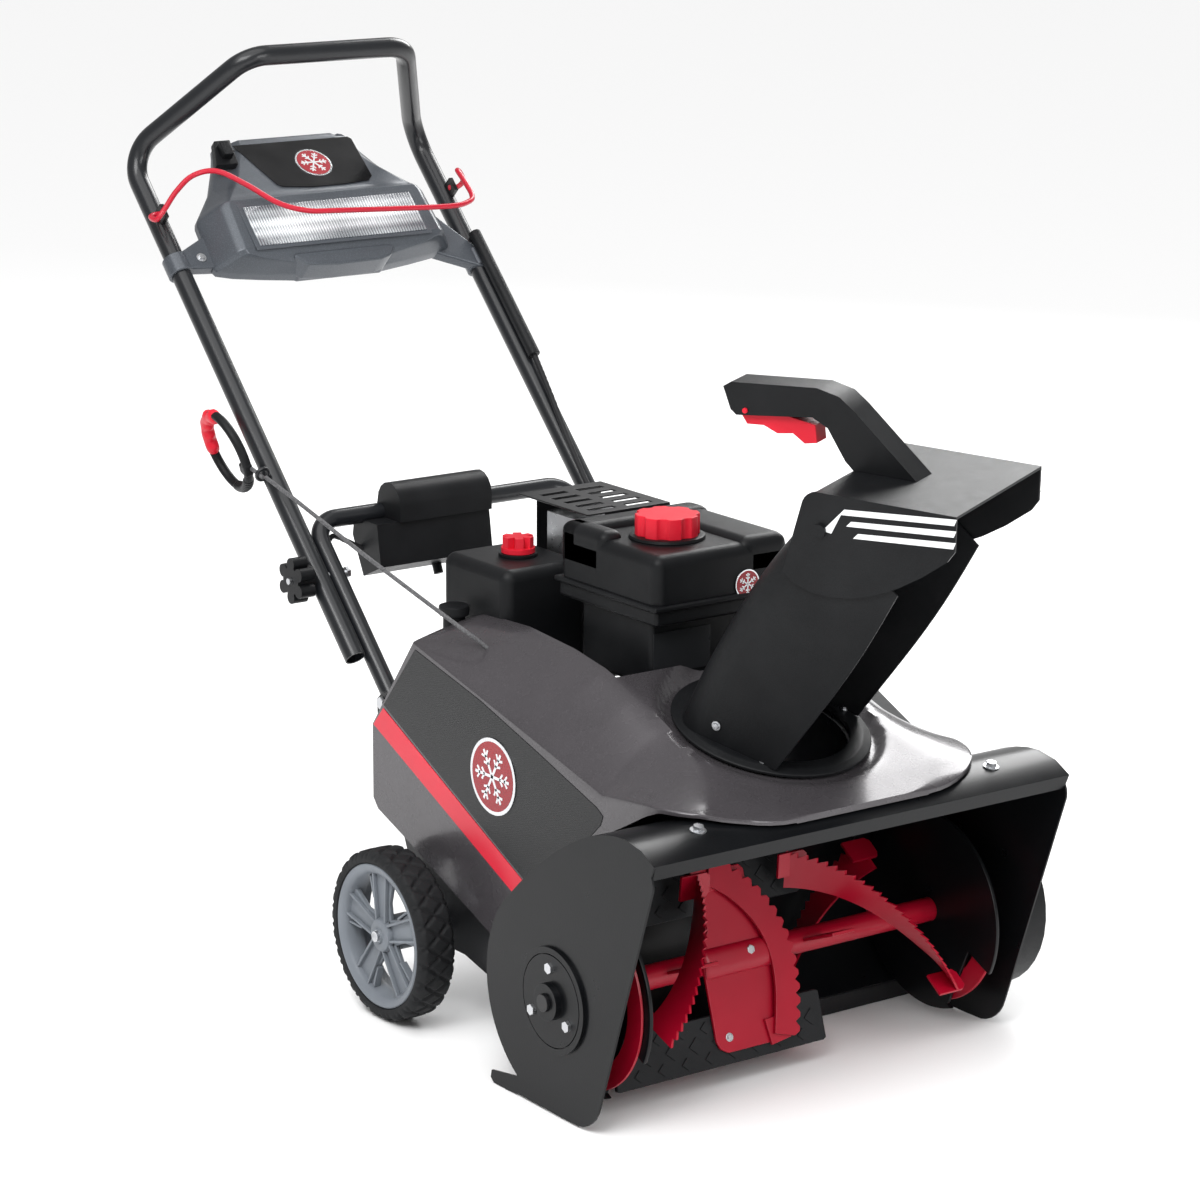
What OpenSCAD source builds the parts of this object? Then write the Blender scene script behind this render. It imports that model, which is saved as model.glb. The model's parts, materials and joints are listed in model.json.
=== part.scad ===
// Single-stage petrol snow blower with a folding handle and a turning chute.
// X is across the machine, -Y is forward, +Z is up; the origin is under the scraper bar.

/* [Auger housing] */
// Width over the two side plates
housing_w = 580; // [520:1:640]
// Thickness of the housing and side plate steel
plate_t = 2.5; // [2:0.1:4]
// Distance of the auger axis in front of the scraper bar
auger_fwd = 72; // [66:1:80]
// Height of the auger axis above the ground
auger_h = 132; // [128:1:140]
// Radius swept by the auger
auger_r = 118; // [100:1:119]
// Diameter of the auger shaft ends
shaft_d = 20; // [16:0.5:24]

/* [Chute] */
// Outer diameter of the chute ring
ring_d = 226; // [216:1:234]
// Forward lean of the chute axis in degrees
ring_tilt = 15.4; // [12:0.1:18]
// Direction the chute points at rest in degrees
chute_turn = 22; // [0:1:40]
// Width of the chute over its walls
chute_w = 186; // [170:1:190]
// Wall of the chute and deflector
chute_t = 3; // [2:0.1:4]

/* [Wheels] */
// Wheel diameter over the tyre
wheel_d = 203; // [190:1:215]
// Tyre width
tyre_w = 48; // [40:1:52]
// Distance of the wheel axis behind the scraper bar
wheel_back = 289; // [270:1:340]
// Axle diameter
axle_d = 12.7; // [10:0.1:16]

/* [Handle] */
// Diameter of the upper handle tube
tube_d = 25.4; // [22:0.1:28]
// Diameter of the lower handle tube
lower_d = 22.2; // [20:0.1:25.4]
// Wall of both tubes
tube_t = 1.6; // [1.2:0.1:2]
// Half of the distance between the upper handle legs
leg_x = 214; // [205:1:225]
// Length of the straight upper leg above the fold bolt
leg_up = 637; // [600:1:680]

/* [Engine] */
// Width of the fuel tank
tank_w = 190; // [160:1:200]
// Diameter of the fuel cap
cap_d = 74; // [60:1:80]
// Diameter of the engine pulley
drive_pulley_d = 62; // [50:1:70]
// Diameter of the auger pulley
auger_pulley_d = 176; // [150:1:180]

/* [Hidden] */
$fn = 64;

run_gap = 0.05;                    // radial running fit of shafts and pins
loose_gap = 0.4;                   // gap between pieces that slide past each other
half_w = housing_w / 2;
inner_w = half_w - plate_t;
ay = -auger_fwd;
az = auger_h;
back_r = auger_r + 9;              // inner radius of the housing's back
wall_top = 348;                    // height of the housing's top plate at its crown
lip_y = -251;                      // front edge of the top plate
lip_z = 331;
ring_y = -77;                      // centre of the chute ring
ring_z = 394;
ring_r = ring_d / 2;
mouth_r = ring_r - 21;             // clear radius of the discharge opening
pan_t = 3;                         // moulded cover wall
wheel_r = wheel_d / 2;
wheel_z = wheel_r;
tyre_in = 241;                     // inner face of each tyre
leg_lean = 45.7;                   // angle of the handle legs above the ground
fold_y = 526;                      // fold bolt centre
fold_z = 473;
lower_x = leg_x - (tube_d + lower_d) / 2 - loose_gap;
crank_y = 190;
crank_z = 300;
belt_x = half_w + 22;              // middle plane of the belt
steel = "#a6a8ab";
black = "#1b1c1e";
grey = "#4b494f";
red = "#c81c2c";
auger_red = "#8c0a1c";

// ---- helpers ---------------------------------------------------------------------
function unit(v) = v / norm(v);
function arc(c, r, a0, a1, n) = [for (i = [0 : n]) let (a = a0 + (a1 - a0) * i / n) c + r * [cos(a), sin(a)]];
// A point on the handle legs: s along the leg from the fold bolt, d out of their plane
function leg(x, s, d) = [
    x,
    fold_y + s * cos(leg_lean) - d * sin(leg_lean),
    fold_z + s * sin(leg_lean) + d * cos(leg_lean)
];

module place(o, x, y) {
    z = cross(x, y);
    multmatrix([[x[0], y[0], z[0], o[0]], [x[1], y[1], z[1], o[1]], [x[2], y[2], z[2], o[2]], [0, 0, 0, 1]])
        children();
}

module rod(a, b, r) {
    d = b - a;
    translate(a) rotate([0, acos(d[2] / norm(d)), atan2(d[1], d[0])]) cylinder(h = norm(d), r = r);
}

// Cylinder along X from x0 to x1
module rod_x(x0, x1, y, z, r) {
    translate([x0, y, z]) rotate([0, 90, 0]) cylinder(h = x1 - x0, r = r);
}

// Plate in the Y-Z plane from x0 with thickness t
module slab_x(x0, t) {
    translate([x0, 0, 0]) rotate([90, 0, 90]) linear_extrude(t) children();
}

// Round bar through the points p with bends of radius bend, the bends drawn a hair thinner
module bent_bar(p, bend, r) {
    n = len(p);
    lap = 0.05;
    thin = 0.01;
    function dir(i) = unit(p[i + 1] - p[i]);
    function angle_at(i) = acos(dir(i - 1) * dir(i));
    function cut(i) = (i == 0 || i == n - 1) ? 0 : bend * tan(angle_at(i) / 2) - lap;
    for (i = [0 : n - 2]) rod(p[i] + dir(i) * cut(i), p[i + 1] - dir(i) * cut(i + 1), r);
    for (i = [1 : n - 2]) {
        u = dir(i - 1);
        side = unit(dir(i) - u * (u * dir(i)));
        place(p[i] - u * (cut(i) + lap) + side * bend, -side, u)
            rotate_extrude(angle = angle_at(i)) translate([bend, 0]) circle(r - thin);
    }
}

module bent_tube(p, bend, r, wall) {
    n = len(p);
    longer = [for (i = [0 : n - 1])
        i == 0 ? p[0] + unit(p[0] - p[1]) : i == n - 1 ? p[i] + unit(p[i] - p[i - 1]) : p[i]];
    difference() {
        bent_bar(p, bend, r);
        bent_bar(longer, bend, r - wall);
    }
}

module mirror_x() {
    children();
    mirror([1, 0, 0]) children();
}

module hex_x(x0, len, y, z, af) {
    translate([x0, y, z]) rotate([0, 90, 0]) cylinder(h = len, d = af / cos(30), $fn = 6);
}

// Tube of 8 sides swept through the points p
module cord(p, d) {
    n = len(p);
    sides = 8;
    function along(i) = unit(p[min(i + 1, n - 1)] - p[max(i - 1, 0)]);
    rings = [for (i = [0 : n - 1]) let (t = along(i), a = unit(cross(t, [0.31, 0.2, 0.93])), b = cross(t, a))
        for (k = [0 : sides - 1]) p[i] + d / 2 * (a * cos(360 * k / sides) + b * sin(360 * k / sides))];
    skin = [for (i = [0 : n - 2]) for (k = [0 : sides - 1]) let (m = (k + 1) % sides, o = i * sides)
        each [[o + k, o + m, o + sides + m], [o + k, o + sides + m, o + sides + k]]];
    polyhedron(rings, concat(skin, [[for (k = [0 : sides - 1]) sides - 1 - k]],
        [[for (k = [0 : sides - 1]) (n - 1) * sides + k]]), convexity = 4);
}

module chute_frame() {
    translate([0, ring_y, ring_z]) rotate([ring_tilt, 0, 0]) rotate([0, 0, chute_turn]) children();
}

// ---- auger housing ---------------------------------------------------------------
// Profile of the housing from the front lip over the top and down the back, drawn in by inset
function scoop(inset) = let (
    r = back_r + plate_t - inset,
    p0 = [-200, wall_top - inset],
    p2 = [ay, az] + r * [cos(46), sin(46)],
    p1 = [p2[0] - (p0[1] - p2[1]) * tan(46), p0[1]]
) concat(
    [[lip_y, lip_z - inset], [-228, wall_top - 5 - inset]],
    [for (i = [0 : 10]) let (t = i / 10) (1 - t) * (1 - t) * p0 + 2 * t * (1 - t) * p1 + t * t * p2],
    arc([ay, az], r, 43, -58, 20)
);

module scoop_solid() {
    slab_x(-inner_w, 2 * inner_w) polygon(scoop(0));
}

module scoop_hollow() {
    slab_x(-half_w, housing_w)
        polygon(concat(scoop(plate_t), [[-20, -90], [-420, -90], [-420, lip_z - plate_t]]));
}

module plate_outline() {
    polygon(concat(scoop(0), [[48, 14], [50, 5], [44, 0], [12, 0], [-6, 2], [-92, 1]],
        arc([-112, 49], 48, 262, 196, 6), arc([lip_y + 26, lip_z - 24], 24, 188, 150, 3)));
}

module above_ring(gap) {
    translate([0, ring_y, ring_z]) rotate([ring_tilt, 0, 0])
        translate([-200, -250, gap]) cube([400, 500, 400]);
}

module auger_housing() {
    throat_y = -74;
    throat_r = mouth_r - 6;
    color(black) difference() {
        union() {
            scoop_solid();
            translate([0, throat_y, az + 60]) cylinder(h = 260, r = throat_r + plate_t);
            slab_x(-inner_w, 2 * inner_w)
                polygon([[lip_y, lip_z], [lip_y + 6, lip_z - 17], [lip_y + 8.4, lip_z - 16], [lip_y + 4, lip_z - 1]]);
        }
        difference() {
            scoop_hollow();
            slab_x(-half_w, housing_w)
                polygon([[lip_y, lip_z], [lip_y + 6, lip_z - 17], [lip_y + 8.4, lip_z - 16], [lip_y + 4, lip_z - 1]]);
        }
        translate([0, throat_y, az]) cylinder(h = 400, r = throat_r);
        above_ring(-7);
    }
    // seat ring that the chute turns on
    color(black) translate([0, ring_y, ring_z]) rotate([ring_tilt, 0, 0]) translate([0, 0, -7])
        difference() {
            cylinder(h = 3, r = ring_r - 12);
            translate([0, 0, -1]) cylinder(h = 5, r = mouth_r - 1);
        }
}

flange_r = 52;
flange_bolt_r = 38;
flange_bolts = [90, 210, 330];
flange_bolt_d = 7;
module flange_holes() {
    for (a = flange_bolts) rod_x(inner_w - 4, half_w + 8, ay + flange_bolt_r * cos(a), az + flange_bolt_r * sin(a),
        flange_bolt_d / 2 + run_gap);
}

module side_plate(bore_r) {
    color(black) difference() {
        union() {
            slab_x(inner_w, plate_t) plate_outline();
            rod_x(half_w, half_w + 4, ay, az, flange_r + 8);
        }
        rod_x(half_w + 1.2, half_w + 5, ay, az, flange_r + 1);
        rod_x(inner_w - 1, half_w + 5, ay, az, bore_r);
        flange_holes();
    }
}
module side_plate_right() { mirror([1, 0, 0]) side_plate(22); }
module side_plate_left() { side_plate(22); }

module scraper_bar() {
    color(black) difference() {
        translate([-inner_w + 1, -3.6, 0]) cube([2 * inner_w - 2, 8, 32]);
        rod_x(-half_w, half_w, ay, az, back_r + plate_t + 0.3);
    }
}

module bearing_right() {
    color(black) mirror([1, 0, 0]) bearing();
}
module bearing_left() { color(black) bearing(); }
module bearing() {
    difference() {
        union() {
            rod_x(half_w + 1.2, half_w + 4.2, ay, az, flange_r);
            rod_x(inner_w - 3, half_w + 12, ay, az, 21);
        }
        rod_x(inner_w - 4, half_w + 13, ay, az, shaft_d / 2 + run_gap);
        flange_holes();
    }
}

module bolt_x(x, y, z, d) {
    hex_x(x, 4.5, y, z, d * 1.6);
    rod_x(x - 5, x + 0.01, y, z, d / 2);
}

// Hex flange bolts of the housing: three at each bearing and two on the top plate
module housing_bolts() {
    color(steel) mirror_x() {
        for (a = flange_bolts) bolt_x(half_w + 4.25, ay + flange_bolt_r * cos(a), az + flange_bolt_r * sin(a), flange_bolt_d);
        translate([205, -214, wall_top - 2.3]) rotate([10.1, 0, 0]) {
            cylinder(h = 6.5, d = 12, $fn = 6);
            cylinder(h = 1.5, r = 9);
        }
    }
}

// ---- auger -----------------------------------------------------------------------
disc_x = half_w - 47;              // inner face of each end disc
kick_x = -42;
kick_a = 252;                      // direction of the kicker plate's lower arm
kick_w = 116;
kick_back = 14.1;                  // the kicker plate's face on the shaft's side
flight_in = 60;
arm_x = [-140, 92];

module auger_shaft() {
    color(auger_red) rod_x(-disc_x - 12, disc_x + 12, ay, az, 14);
    color(steel) rod_x(-half_w - 16, belt_x + 16, ay, az, shaft_d / 2);
}

module auger_discs() {
    color(black) mirror_x() difference() {
        rod_x(disc_x, disc_x + 5, ay, az, auger_r);
        rod_x(disc_x - 1, disc_x + 6, ay, az, 14 + 0.05);
        translate([disc_x - 1, ay, az]) rotate([205, 0, 0]) translate([0, 78, 0]) cube([7, 60, 80]);
    }
}

// Serrated steel ribbon wound round the shaft from x0 to x1
function saw(i, depth) = i % 2 == 0 ? 0 : depth;
module ribbon(x0, x1, a0, a1, r_in, r_out, n, thick, depth) {
    pts = [for (i = [0 : n]) let (a = a0 + (a1 - a0) * i / n, x = x0 + (x1 - x0) * i / n, r = r_out - saw(i, depth))
        for (q = [[r_in, 0], [r, 0], [r, thick], [r_in, thick]])
            [x + q[1], ay + q[0] * cos(a), az + q[0] * sin(a)]];
    skin = [for (i = [0 : n - 1]) for (k = [0 : 3]) let (o = 4 * i, m = (k + 1) % 4)
        each [[o + k, o + m, o + 4 + m], [o + k, o + 4 + m, o + 4 + k]]];
    caps = [[3, 2, 1, 0], [4 * n, 4 * n + 1, 4 * n + 2, 4 * n + 3]];
    faces = concat(skin, caps);
    polyhedron(pts, a1 > a0 ? faces : [for (f = faces) [for (k = [len(f) - 1 : -1 : 0]) f[k]]], convexity = 6);
}

module auger_arm(x, a) {
    translate([x, ay, az]) rotate([a, 0, 0]) translate([-14, 14.02, -2]) cube([28, flight_in - 4, 4]);
}

module auger_flights() {
    color(auger_red) {
        for (turn = [0, 180]) {
            ribbon(31 - disc_x, kick_x - 64, 200 + turn, 95 + turn, flight_in, auger_r - 4, 20, 4, 6);
            ribbon(disc_x - 35, kick_x + 64, 215 + turn, 94 + turn, flight_in, auger_r - 4, 24, 4, 6);
            for (x = arm_x) auger_arm(x, 158 + turn);
        }
        mirror_x() difference() {
            rod_x(disc_x + 5.05, disc_x + 9, ay, az, auger_r - 10);
            rod_x(disc_x + 4, disc_x + 10, ay, az, 82);
        }
    }
}

module kicker_plate() {
    reach = 102;
    color(auger_red) translate([kick_x, ay, az]) rotate([kick_a, 0, 0]) difference() {
        union() {
            translate([-kick_w / 2, -reach, -kick_back - 4]) cube([kick_w, 2 * reach, 4]);
            rotate([0, 90, 0]) cylinder(h = 60, r = 17, center = true);
        }
        rotate([0, 90, 0]) cylinder(h = 70, r = 14.02, center = true);
        for (x = [-30, 30]) for (y = [-90, 90]) translate([x, y, -40]) cylinder(h = 40, d = 7);
        for (y = [-1, 1]) translate([kick_w / 2, y * reach, 0]) rotate([0, 0, 45]) cube([26, 26, 60], center = true);
    }
    color(steel) translate([kick_x, ay, az]) rotate([kick_a, 0, 0]) translate([0, 0, -kick_back - 9])
        cylinder(h = 5, d = 15, $fn = 6);
}

module rubber_paddles() {
    color("#232427") translate([0, ay, az]) rotate([kick_a, 0, 0]) for (y = [-114, 56])
        translate([47 - disc_x, y, -kick_back]) cube([disc_x + 49, 58, 7]);
}

// ---- belt drive ------------------------------------------------------------------
belt_w = 12;
belt_h = 8;
idler_r = 14;
idler_c = [103.5, 256.5];          // idler pulley centre, inside the belt's loop
idler_p = [42.8, 193.8];           // idler arm pivot

module sheave(r, y, z, bore) {
    difference() {
        rod_x(belt_x - 10, belt_x + 10, y, z, r);
        translate([belt_x, y, z]) rotate([0, 90, 0]) rotate_extrude()
            translate([r, 0]) polygon([[-belt_h - loose_gap, -belt_w / 2 - loose_gap], [1, -belt_w / 2 - 1],
                [1, belt_w / 2 + 1], [-belt_h - loose_gap, belt_w / 2 + loose_gap]]);
        rod_x(belt_x - 11, belt_x + 11, y, z, bore);
    }
}
module auger_pulley() { color(steel) sheave(auger_pulley_d / 2, ay, az, shaft_d / 2); }
module drive_pulley() { color(steel) sheave(drive_pulley_d / 2, crank_y, crank_z, 12.5); }
module crankshaft() { color(steel) rod_x(-150, belt_x + 13, crank_y, crank_z, 12.5); }

module drive_belt() {
    r1 = auger_pulley_d / 2 - belt_h;
    r2 = drive_pulley_d / 2 - belt_h;
    d = [crank_y - ay, crank_z - az];
    lean = atan2(d[1], d[0]);
    open_a = acos((r1 - r2) / norm(d));
    function loop(t) = concat(
        [for (p = arc([ay, az], r1 + t, lean + open_a, lean + 360 - open_a, 24)) p],
        [for (p = arc([crank_y, crank_z], r2 + t, lean - open_a, lean + open_a, 12)) p]
    );
    color("#141414") translate([-belt_w / 2, 0, 0]) difference() {
        slab_x(belt_x, belt_w) polygon(loop(belt_h));
        slab_x(belt_x - 1, belt_w + 2) polygon(loop(0.25));
    }
}

module idler_arm() {
    color(steel) difference() {
        union() {
            rod_x(half_w + 2, half_w + 6, idler_p[0], idler_p[1], 13);
            rod_x(half_w + 2, half_w + 6, idler_c[0], idler_c[1], 13);
            translate([half_w + 2, idler_p[0], idler_p[1]])
                rotate([atan2(idler_c[1] - idler_p[1], idler_c[0] - idler_p[0]), 0, 0])
                translate([0, 0, -9]) cube([4, norm(idler_c - idler_p), 18]);
            rod_x(half_w + 6, belt_x + 8, idler_c[0], idler_c[1], 5);
        }
        rod_x(half_w, half_w + 8, idler_p[0], idler_p[1], 5 + run_gap);
    }
}
module idler_pulley() {
    color(steel) difference() {
        rod_x(belt_x - 8, belt_x + 7.5, idler_c[0], idler_c[1], idler_r);
        rod_x(belt_x - 9, belt_x + 9, idler_c[0], idler_c[1], 5 + run_gap);
    }
}
// Closed outline of the coiled return spring between the arm and the frame
module idler_spring() {
    color(steel) rod([half_w + 4, 150, 360], [half_w + 4, 196, 416], 3.4);
}

module belt_cover() {
    cover_x = belt_x + 20;
    lean = atan2(crank_z - az, crank_y - ay);
    function skin(t) = concat(arc([ay, az], 104 + t, lean + 76, lean + 284, 20),
        arc([crank_y - 8, crank_z - 4], 56 + t, lean - 76, lean + 76, 12));
    color(black) difference() {
        slab_x(half_w + 0.4, cover_x - half_w) polygon(skin(0));
        slab_x(half_w - 1, cover_x - half_w - 1.1) polygon(skin(-2.5));
    }
    // pivot stud of the idler arm
    color(steel) rod_x(half_w + 0.05, cover_x - 2, idler_p[0], idler_p[1], 5);
}

// ---- chassis and wheels ----------------------------------------------------------
frame_x = lower_x + lower_d / 2 + 0.4;
foot_bolt = leg(0, -180, 0);        // bolt that holds the lower handle to the chassis

module chassis() {
    color(black) {
        mirror_x() difference() {
            union() {
                slab_x(frame_x, 3) polygon([[-10, 40], [60, 40], [wheel_back - 60, wheel_z - 22],
                    [wheel_back + 24, wheel_z - 22], [wheel_back + 34, wheel_z + 10], [412, 318], [414, 346],
                    [400, 358], [380, 354], [200, 190], [40, 190], [40, 90]]);
                rod_x(frame_x + 3, frame_x + 11, wheel_back, wheel_z, 15);
            }
            rod_x(frame_x - 1, frame_x + 12, wheel_back, wheel_z, axle_d / 2);
            rod_x(frame_x - 1, frame_x + 12, ay, az, back_r + plate_t + 0.3);
            rod_x(frame_x - 1, frame_x + 12, foot_bolt[1], foot_bolt[2], 4 + run_gap);
        }
        translate([-frame_x, 66, wheel_z - 18]) cube([2 * frame_x, 130, 3]);
        translate([-frame_x, 96, 186]) cube([2 * frame_x, 130, 4]);
    }
}
module axle() {
    color(steel) rod_x(-tyre_in - tyre_w - 1, tyre_in + tyre_w + 1, wheel_back, wheel_z, axle_d / 2);
}

module rim() {
    rim_r = wheel_r - 17;
    x1 = tyre_in + tyre_w - 4;
    difference() {
        union() {
            difference() {
                rod_x(tyre_in + 3, x1, wheel_back, wheel_z, rim_r);
                rod_x(tyre_in + 22, x1 + 1, wheel_back, wheel_z, rim_r - 5);
                rod_x(tyre_in + 2, tyre_in + 18, wheel_back, wheel_z, rim_r - 5);
            }
            rod_x(tyre_in + 1, tyre_in + tyre_w - 1, wheel_back, wheel_z, 21);
            for (i = [0 : 4]) translate([tyre_in + 20, wheel_back, wheel_z]) rotate([i * 72 + 18, 0, 0])
                translate([0, 0, -9]) cube([tyre_w - 28, rim_r - 3, 18]);
        }
        rod_x(tyre_in - 1, tyre_in + tyre_w - 2.9, wheel_back, wheel_z, axle_d / 2 + run_gap);
        rod_x(tyre_in - 1, tyre_in + tyre_w + 1, wheel_back, wheel_z, axle_d / 2 + run_gap);
    }
}
module tyre() {
    rim_r = wheel_r - 17;
    half_t = tyre_w / 2;
    translate([tyre_in + half_t, wheel_back, wheel_z]) rotate([0, 90, 0]) difference() {
        rotate_extrude() polygon(concat(
            [[rim_r + 0.02, -half_t + 4]], arc([wheel_r - 9, -half_t + 9], 9, 270, 360, 6),
            arc([wheel_r - 9, half_t - 9], 9, 0, 90, 6), [[rim_r + 0.02, half_t - 4]]));
    }
}
module rim_right() { color("#7d838b") mirror([1, 0, 0]) rim(); }
module tyre_right() { color("#222326") mirror([1, 0, 0]) tyre(); }
module rim_left() { color("#7d838b") rim(); }
module tyre_left() { color("#222326") tyre(); }

// ---- moulded shroud --------------------------------------------------------------
pan_half = 222;
pan_front = -240;
deck_rear = 486;
recess_r = ring_r + 6;             // round recess that the chute ring stands in
opening_y = 42;                    // front of the engine opening

// Top line of the shroud from the nose to the rear, drawn in by t
function pan_top(t) = [
    [pan_front + 5, 348 - t], [-190, 366 - t], [-60, 404 - t], [40, 440 - t], [90, 470 - t],
    [210, deck_rear - t], [316 - t / 2, 441 - t], [402 - t, 322 - t / 2]
];
module pan_plan(t) {
    round_x = 92;
    round_y = 88;
    side = pan_half - round_x;
    translate([0, 0, 40]) linear_extrude(500)
        polygon(concat([[-pan_half + t, 410], [pan_half - t, 410]],
            [for (q = [0 : 8]) let (a = -90 * q / 8)
                [side + (round_x - t) * cos(a), pan_front + round_y + (round_y - t) * sin(a)]],
            [for (q = [0 : 8]) let (a = 270 - 90 * q / 8)
                [-side + (round_x - t) * cos(a), pan_front + round_y + (round_y - t) * sin(a)]]));
}
// Cuts the sloping shoulders off both sides, drawn in by t
module pan_shoulders(t) {
    edge = unit([0, 384, 96]);
    face = unit([84 * 384, -72 * 96, 72 * 384]);
    mirror_x() place([pan_half, 314, 441] - face * t, edge, cross(face, edge))
        translate([-800, -600, 0]) cube([1400, 1200, 300]);
}
module pan_outside() {
    difference() {
        intersection() {
            slab_x(-pan_half - 1, 2 * pan_half + 2) polygon(concat([[pan_front - 1, 340]], pan_top(0), [[402, 230],
                [392, 218], [336, 198], [78, 98], [66, 130], [56, 172], [18, 238], [-60, 312], [-96, 345],
                [-140, 354], [-200, 353], [-226, 348]]));
            pan_plan(0);
        }
        pan_shoulders(0);
    }
}
// Everything under the skin, open at the bottom and at the lower rear
module pan_inside() {
    difference() {
        intersection() {
            slab_x(-pan_half, 2 * pan_half)
                polygon(concat([[pan_front - 2, 345]], pan_top(pan_t), [[399, 300], [430, 296], [430, 60],
                [pan_front - 2, 60]]));
            pan_plan(pan_t);
        }
        pan_shoulders(pan_t);
    }
}
module at_ring() {
    translate([0, ring_y, ring_z]) rotate([ring_tilt, 0, 0]) children();
}
module shroud() {
    color(grey) difference() {
        union() {
            difference() {
                pan_outside();
                pan_inside();
            }
            intersection() {
                pan_outside();
                at_ring() translate([0, 0, -7]) cylinder(h = 60, r = recess_r + pan_t);
            }
        }
        at_ring() {
            translate([0, 0, -4]) cylinder(h = 200, r = recess_r);
            translate([0, 0, -60]) cylinder(h = 200, r = ring_r - 3);
        }
        translate([-136, opening_y, 395]) cube([264, 400, 150]);
        translate([-150, 330, 380]) cylinder(h = 120, r = 16);
        // notches for the lower handle and the chassis tabs
        mirror_x() translate([172, 350, 290]) cube([38, 80, 95]);
        rod_x(150, 300, crank_y, crank_z, 15);
        translate(rope_hole) rotate([119, 0, 28]) cylinder(h = 76, d = 18, center = true);
    }
}

// ---- engine ----------------------------------------------------------------------
module crankcase() {
    color("#5b5d60") difference() {
        union() {
            translate([-80, 120, 190.05]) cube([170, 150, 170]);
            translate([-64, 66, 286]) rotate([20, 0, 0]) cube([130, 106, 92]);
            for (i = [0 : 5]) translate([-72, 78 + i * 14, 285]) rotate([20, 0, 0]) cube([146, 6, 100]);
        }
        rod_x(-151, belt_x, crank_y, crank_z, 12.5 + run_gap);
    }
}

module recoil_cover() {
    color(black) difference() {
        rod_x(-150, -84, crank_y, crank_z, 96);
        rod_x(-146, -80.5, crank_y, crank_z, 92);
        rod_x(-151, -140, crank_y, crank_z, 20);
    }
}
module recoil_reel() {
    color("#303134") difference() {
        rod_x(-140, -118, crank_y, crank_z, 70);
        rod_x(-137, -121, crank_y, crank_z, 80);
        rod_x(-141, -117, crank_y, crank_z, 12.5 + run_gap);
    }
    color("#303134") difference() {
        rod_x(-137.01, -120.99, crank_y, crank_z, 46);
        rod_x(-138, -120, crank_y, crank_z, 12.5 + run_gap);
    }
}

module muffler() {
    color(steel) {
        difference() {
            union() {
                translate([-8, 248, 470]) cube([88, 96, 92]);
                translate([34, 300, 400]) cylinder(h = 71, d = 34);
            }
            translate([-6, 250, 472]) cube([84, 92, 88]);
            translate([34, 300, 399]) cylinder(h = 80, d = 30);
        }
    }
}
module muffler_guard() {
    slot_x = [-18, 34];
    color(black) difference() {
        union() {
            translate([-34, 226, 580]) cube([120, 140, 2]);
            translate([-8, 226, 520]) cube([94, 2, 61]);
            translate([-8, 364, 470.2]) cube([94, 2, 111]);
        }
        for (x = slot_x) for (i = [0 : 4]) translate([x, 240 + i * 24, 578]) cube([36, 10, 6]);
    }
}

tank_x = 12;
tank_y = 26;
tank_d = 188;
tank_z = 492;
tank_h = 84;
module rounded_block(x, y, z, w, d, h, r) {
    translate([x, y, z]) hull() for (i = [0, 1]) for (j = [0, 1])
        translate([r + i * (w - 2 * r), r + j * (d - 2 * r), 0]) {
            cylinder(h = h - r, r = r, $fn = 32);
            translate([0, 0, h - r]) sphere(r, $fn = 32);
        }
}
module fuel_tank() {
    color(black) {
        rounded_block(tank_x - tank_w / 2, tank_y, tank_z, tank_w, tank_d, tank_h, 18);
        translate([tank_x - tank_w / 2 - 4, tank_y - 4, tank_z + 18]) cube([tank_w + 8, tank_d + 8, 6]);
        translate([tank_x - tank_w / 2 + 8, tank_y + 20, 420]) cube([tank_w - 16, tank_d - 54, tank_z - 419.9]);
        translate([cap_x, cap_y, tank_z + tank_h - 0.05]) cylinder(h = 4, d = cap_d + 10);
    }
}
cap_x = -10;
cap_y = 104;
cap_z = tank_z + tank_h + 4;
module fuel_cap() {
    color(red) translate([cap_x, cap_y, cap_z]) {
        difference() {
            cylinder(h = 24, d = cap_d);
            for (i = [0 : 7]) rotate([0, 0, i * 45]) translate([cap_d / 2 + 5, 0, -1]) cylinder(h = 30, r = 9);
            translate([0, 0, -1]) cylinder(h = 17, d = 44);
        }
    }
}

cover_z = 520;
module carburettor_cover() {
    color(black) difference() {
        union() {
            rounded_block(-128, 256, 400, 118, 134, cover_z - 400, 14);
            translate([-66, 320, cover_z - 0.05]) cylinder(h = 4, d = 46);
        }
        translate([-66, 320, cover_z - 30]) cylinder(h = 40, d = 8 + 2 * run_gap);
        translate([-84, 372, 478]) rotate([-90, 0, 0]) cylinder(h = 36, d = 28);
    }
}
module choke_knob() {
    color(red) translate([-66, 320, cover_z + 4.4]) {
        translate([0, 0, -28]) cylinder(h = 29, d = 8);
        cylinder(h = 6, d = 40);
        for (a = [0, 60, 120]) rotate([0, 0, a]) translate([-18, -5, 5]) cube([36, 10, 14]);
    }
}
module primer_bulb() {
    color("#a83226") translate([-84, 390, 478]) rotate([-90, 0, 0]) difference() {
        translate([0, 0, -9]) cylinder(h = 20, d = 27.4);
        translate([0, 0, -10]) cylinder(h = 18, d = 22);
    }
}
module oil_cap() {
    color(black) translate([-150, 330, 398]) {
        cylinder(h = 60, d = 26);
        translate([0, 0, 60]) cylinder(h = 12, d = 36);
    }
}

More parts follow.
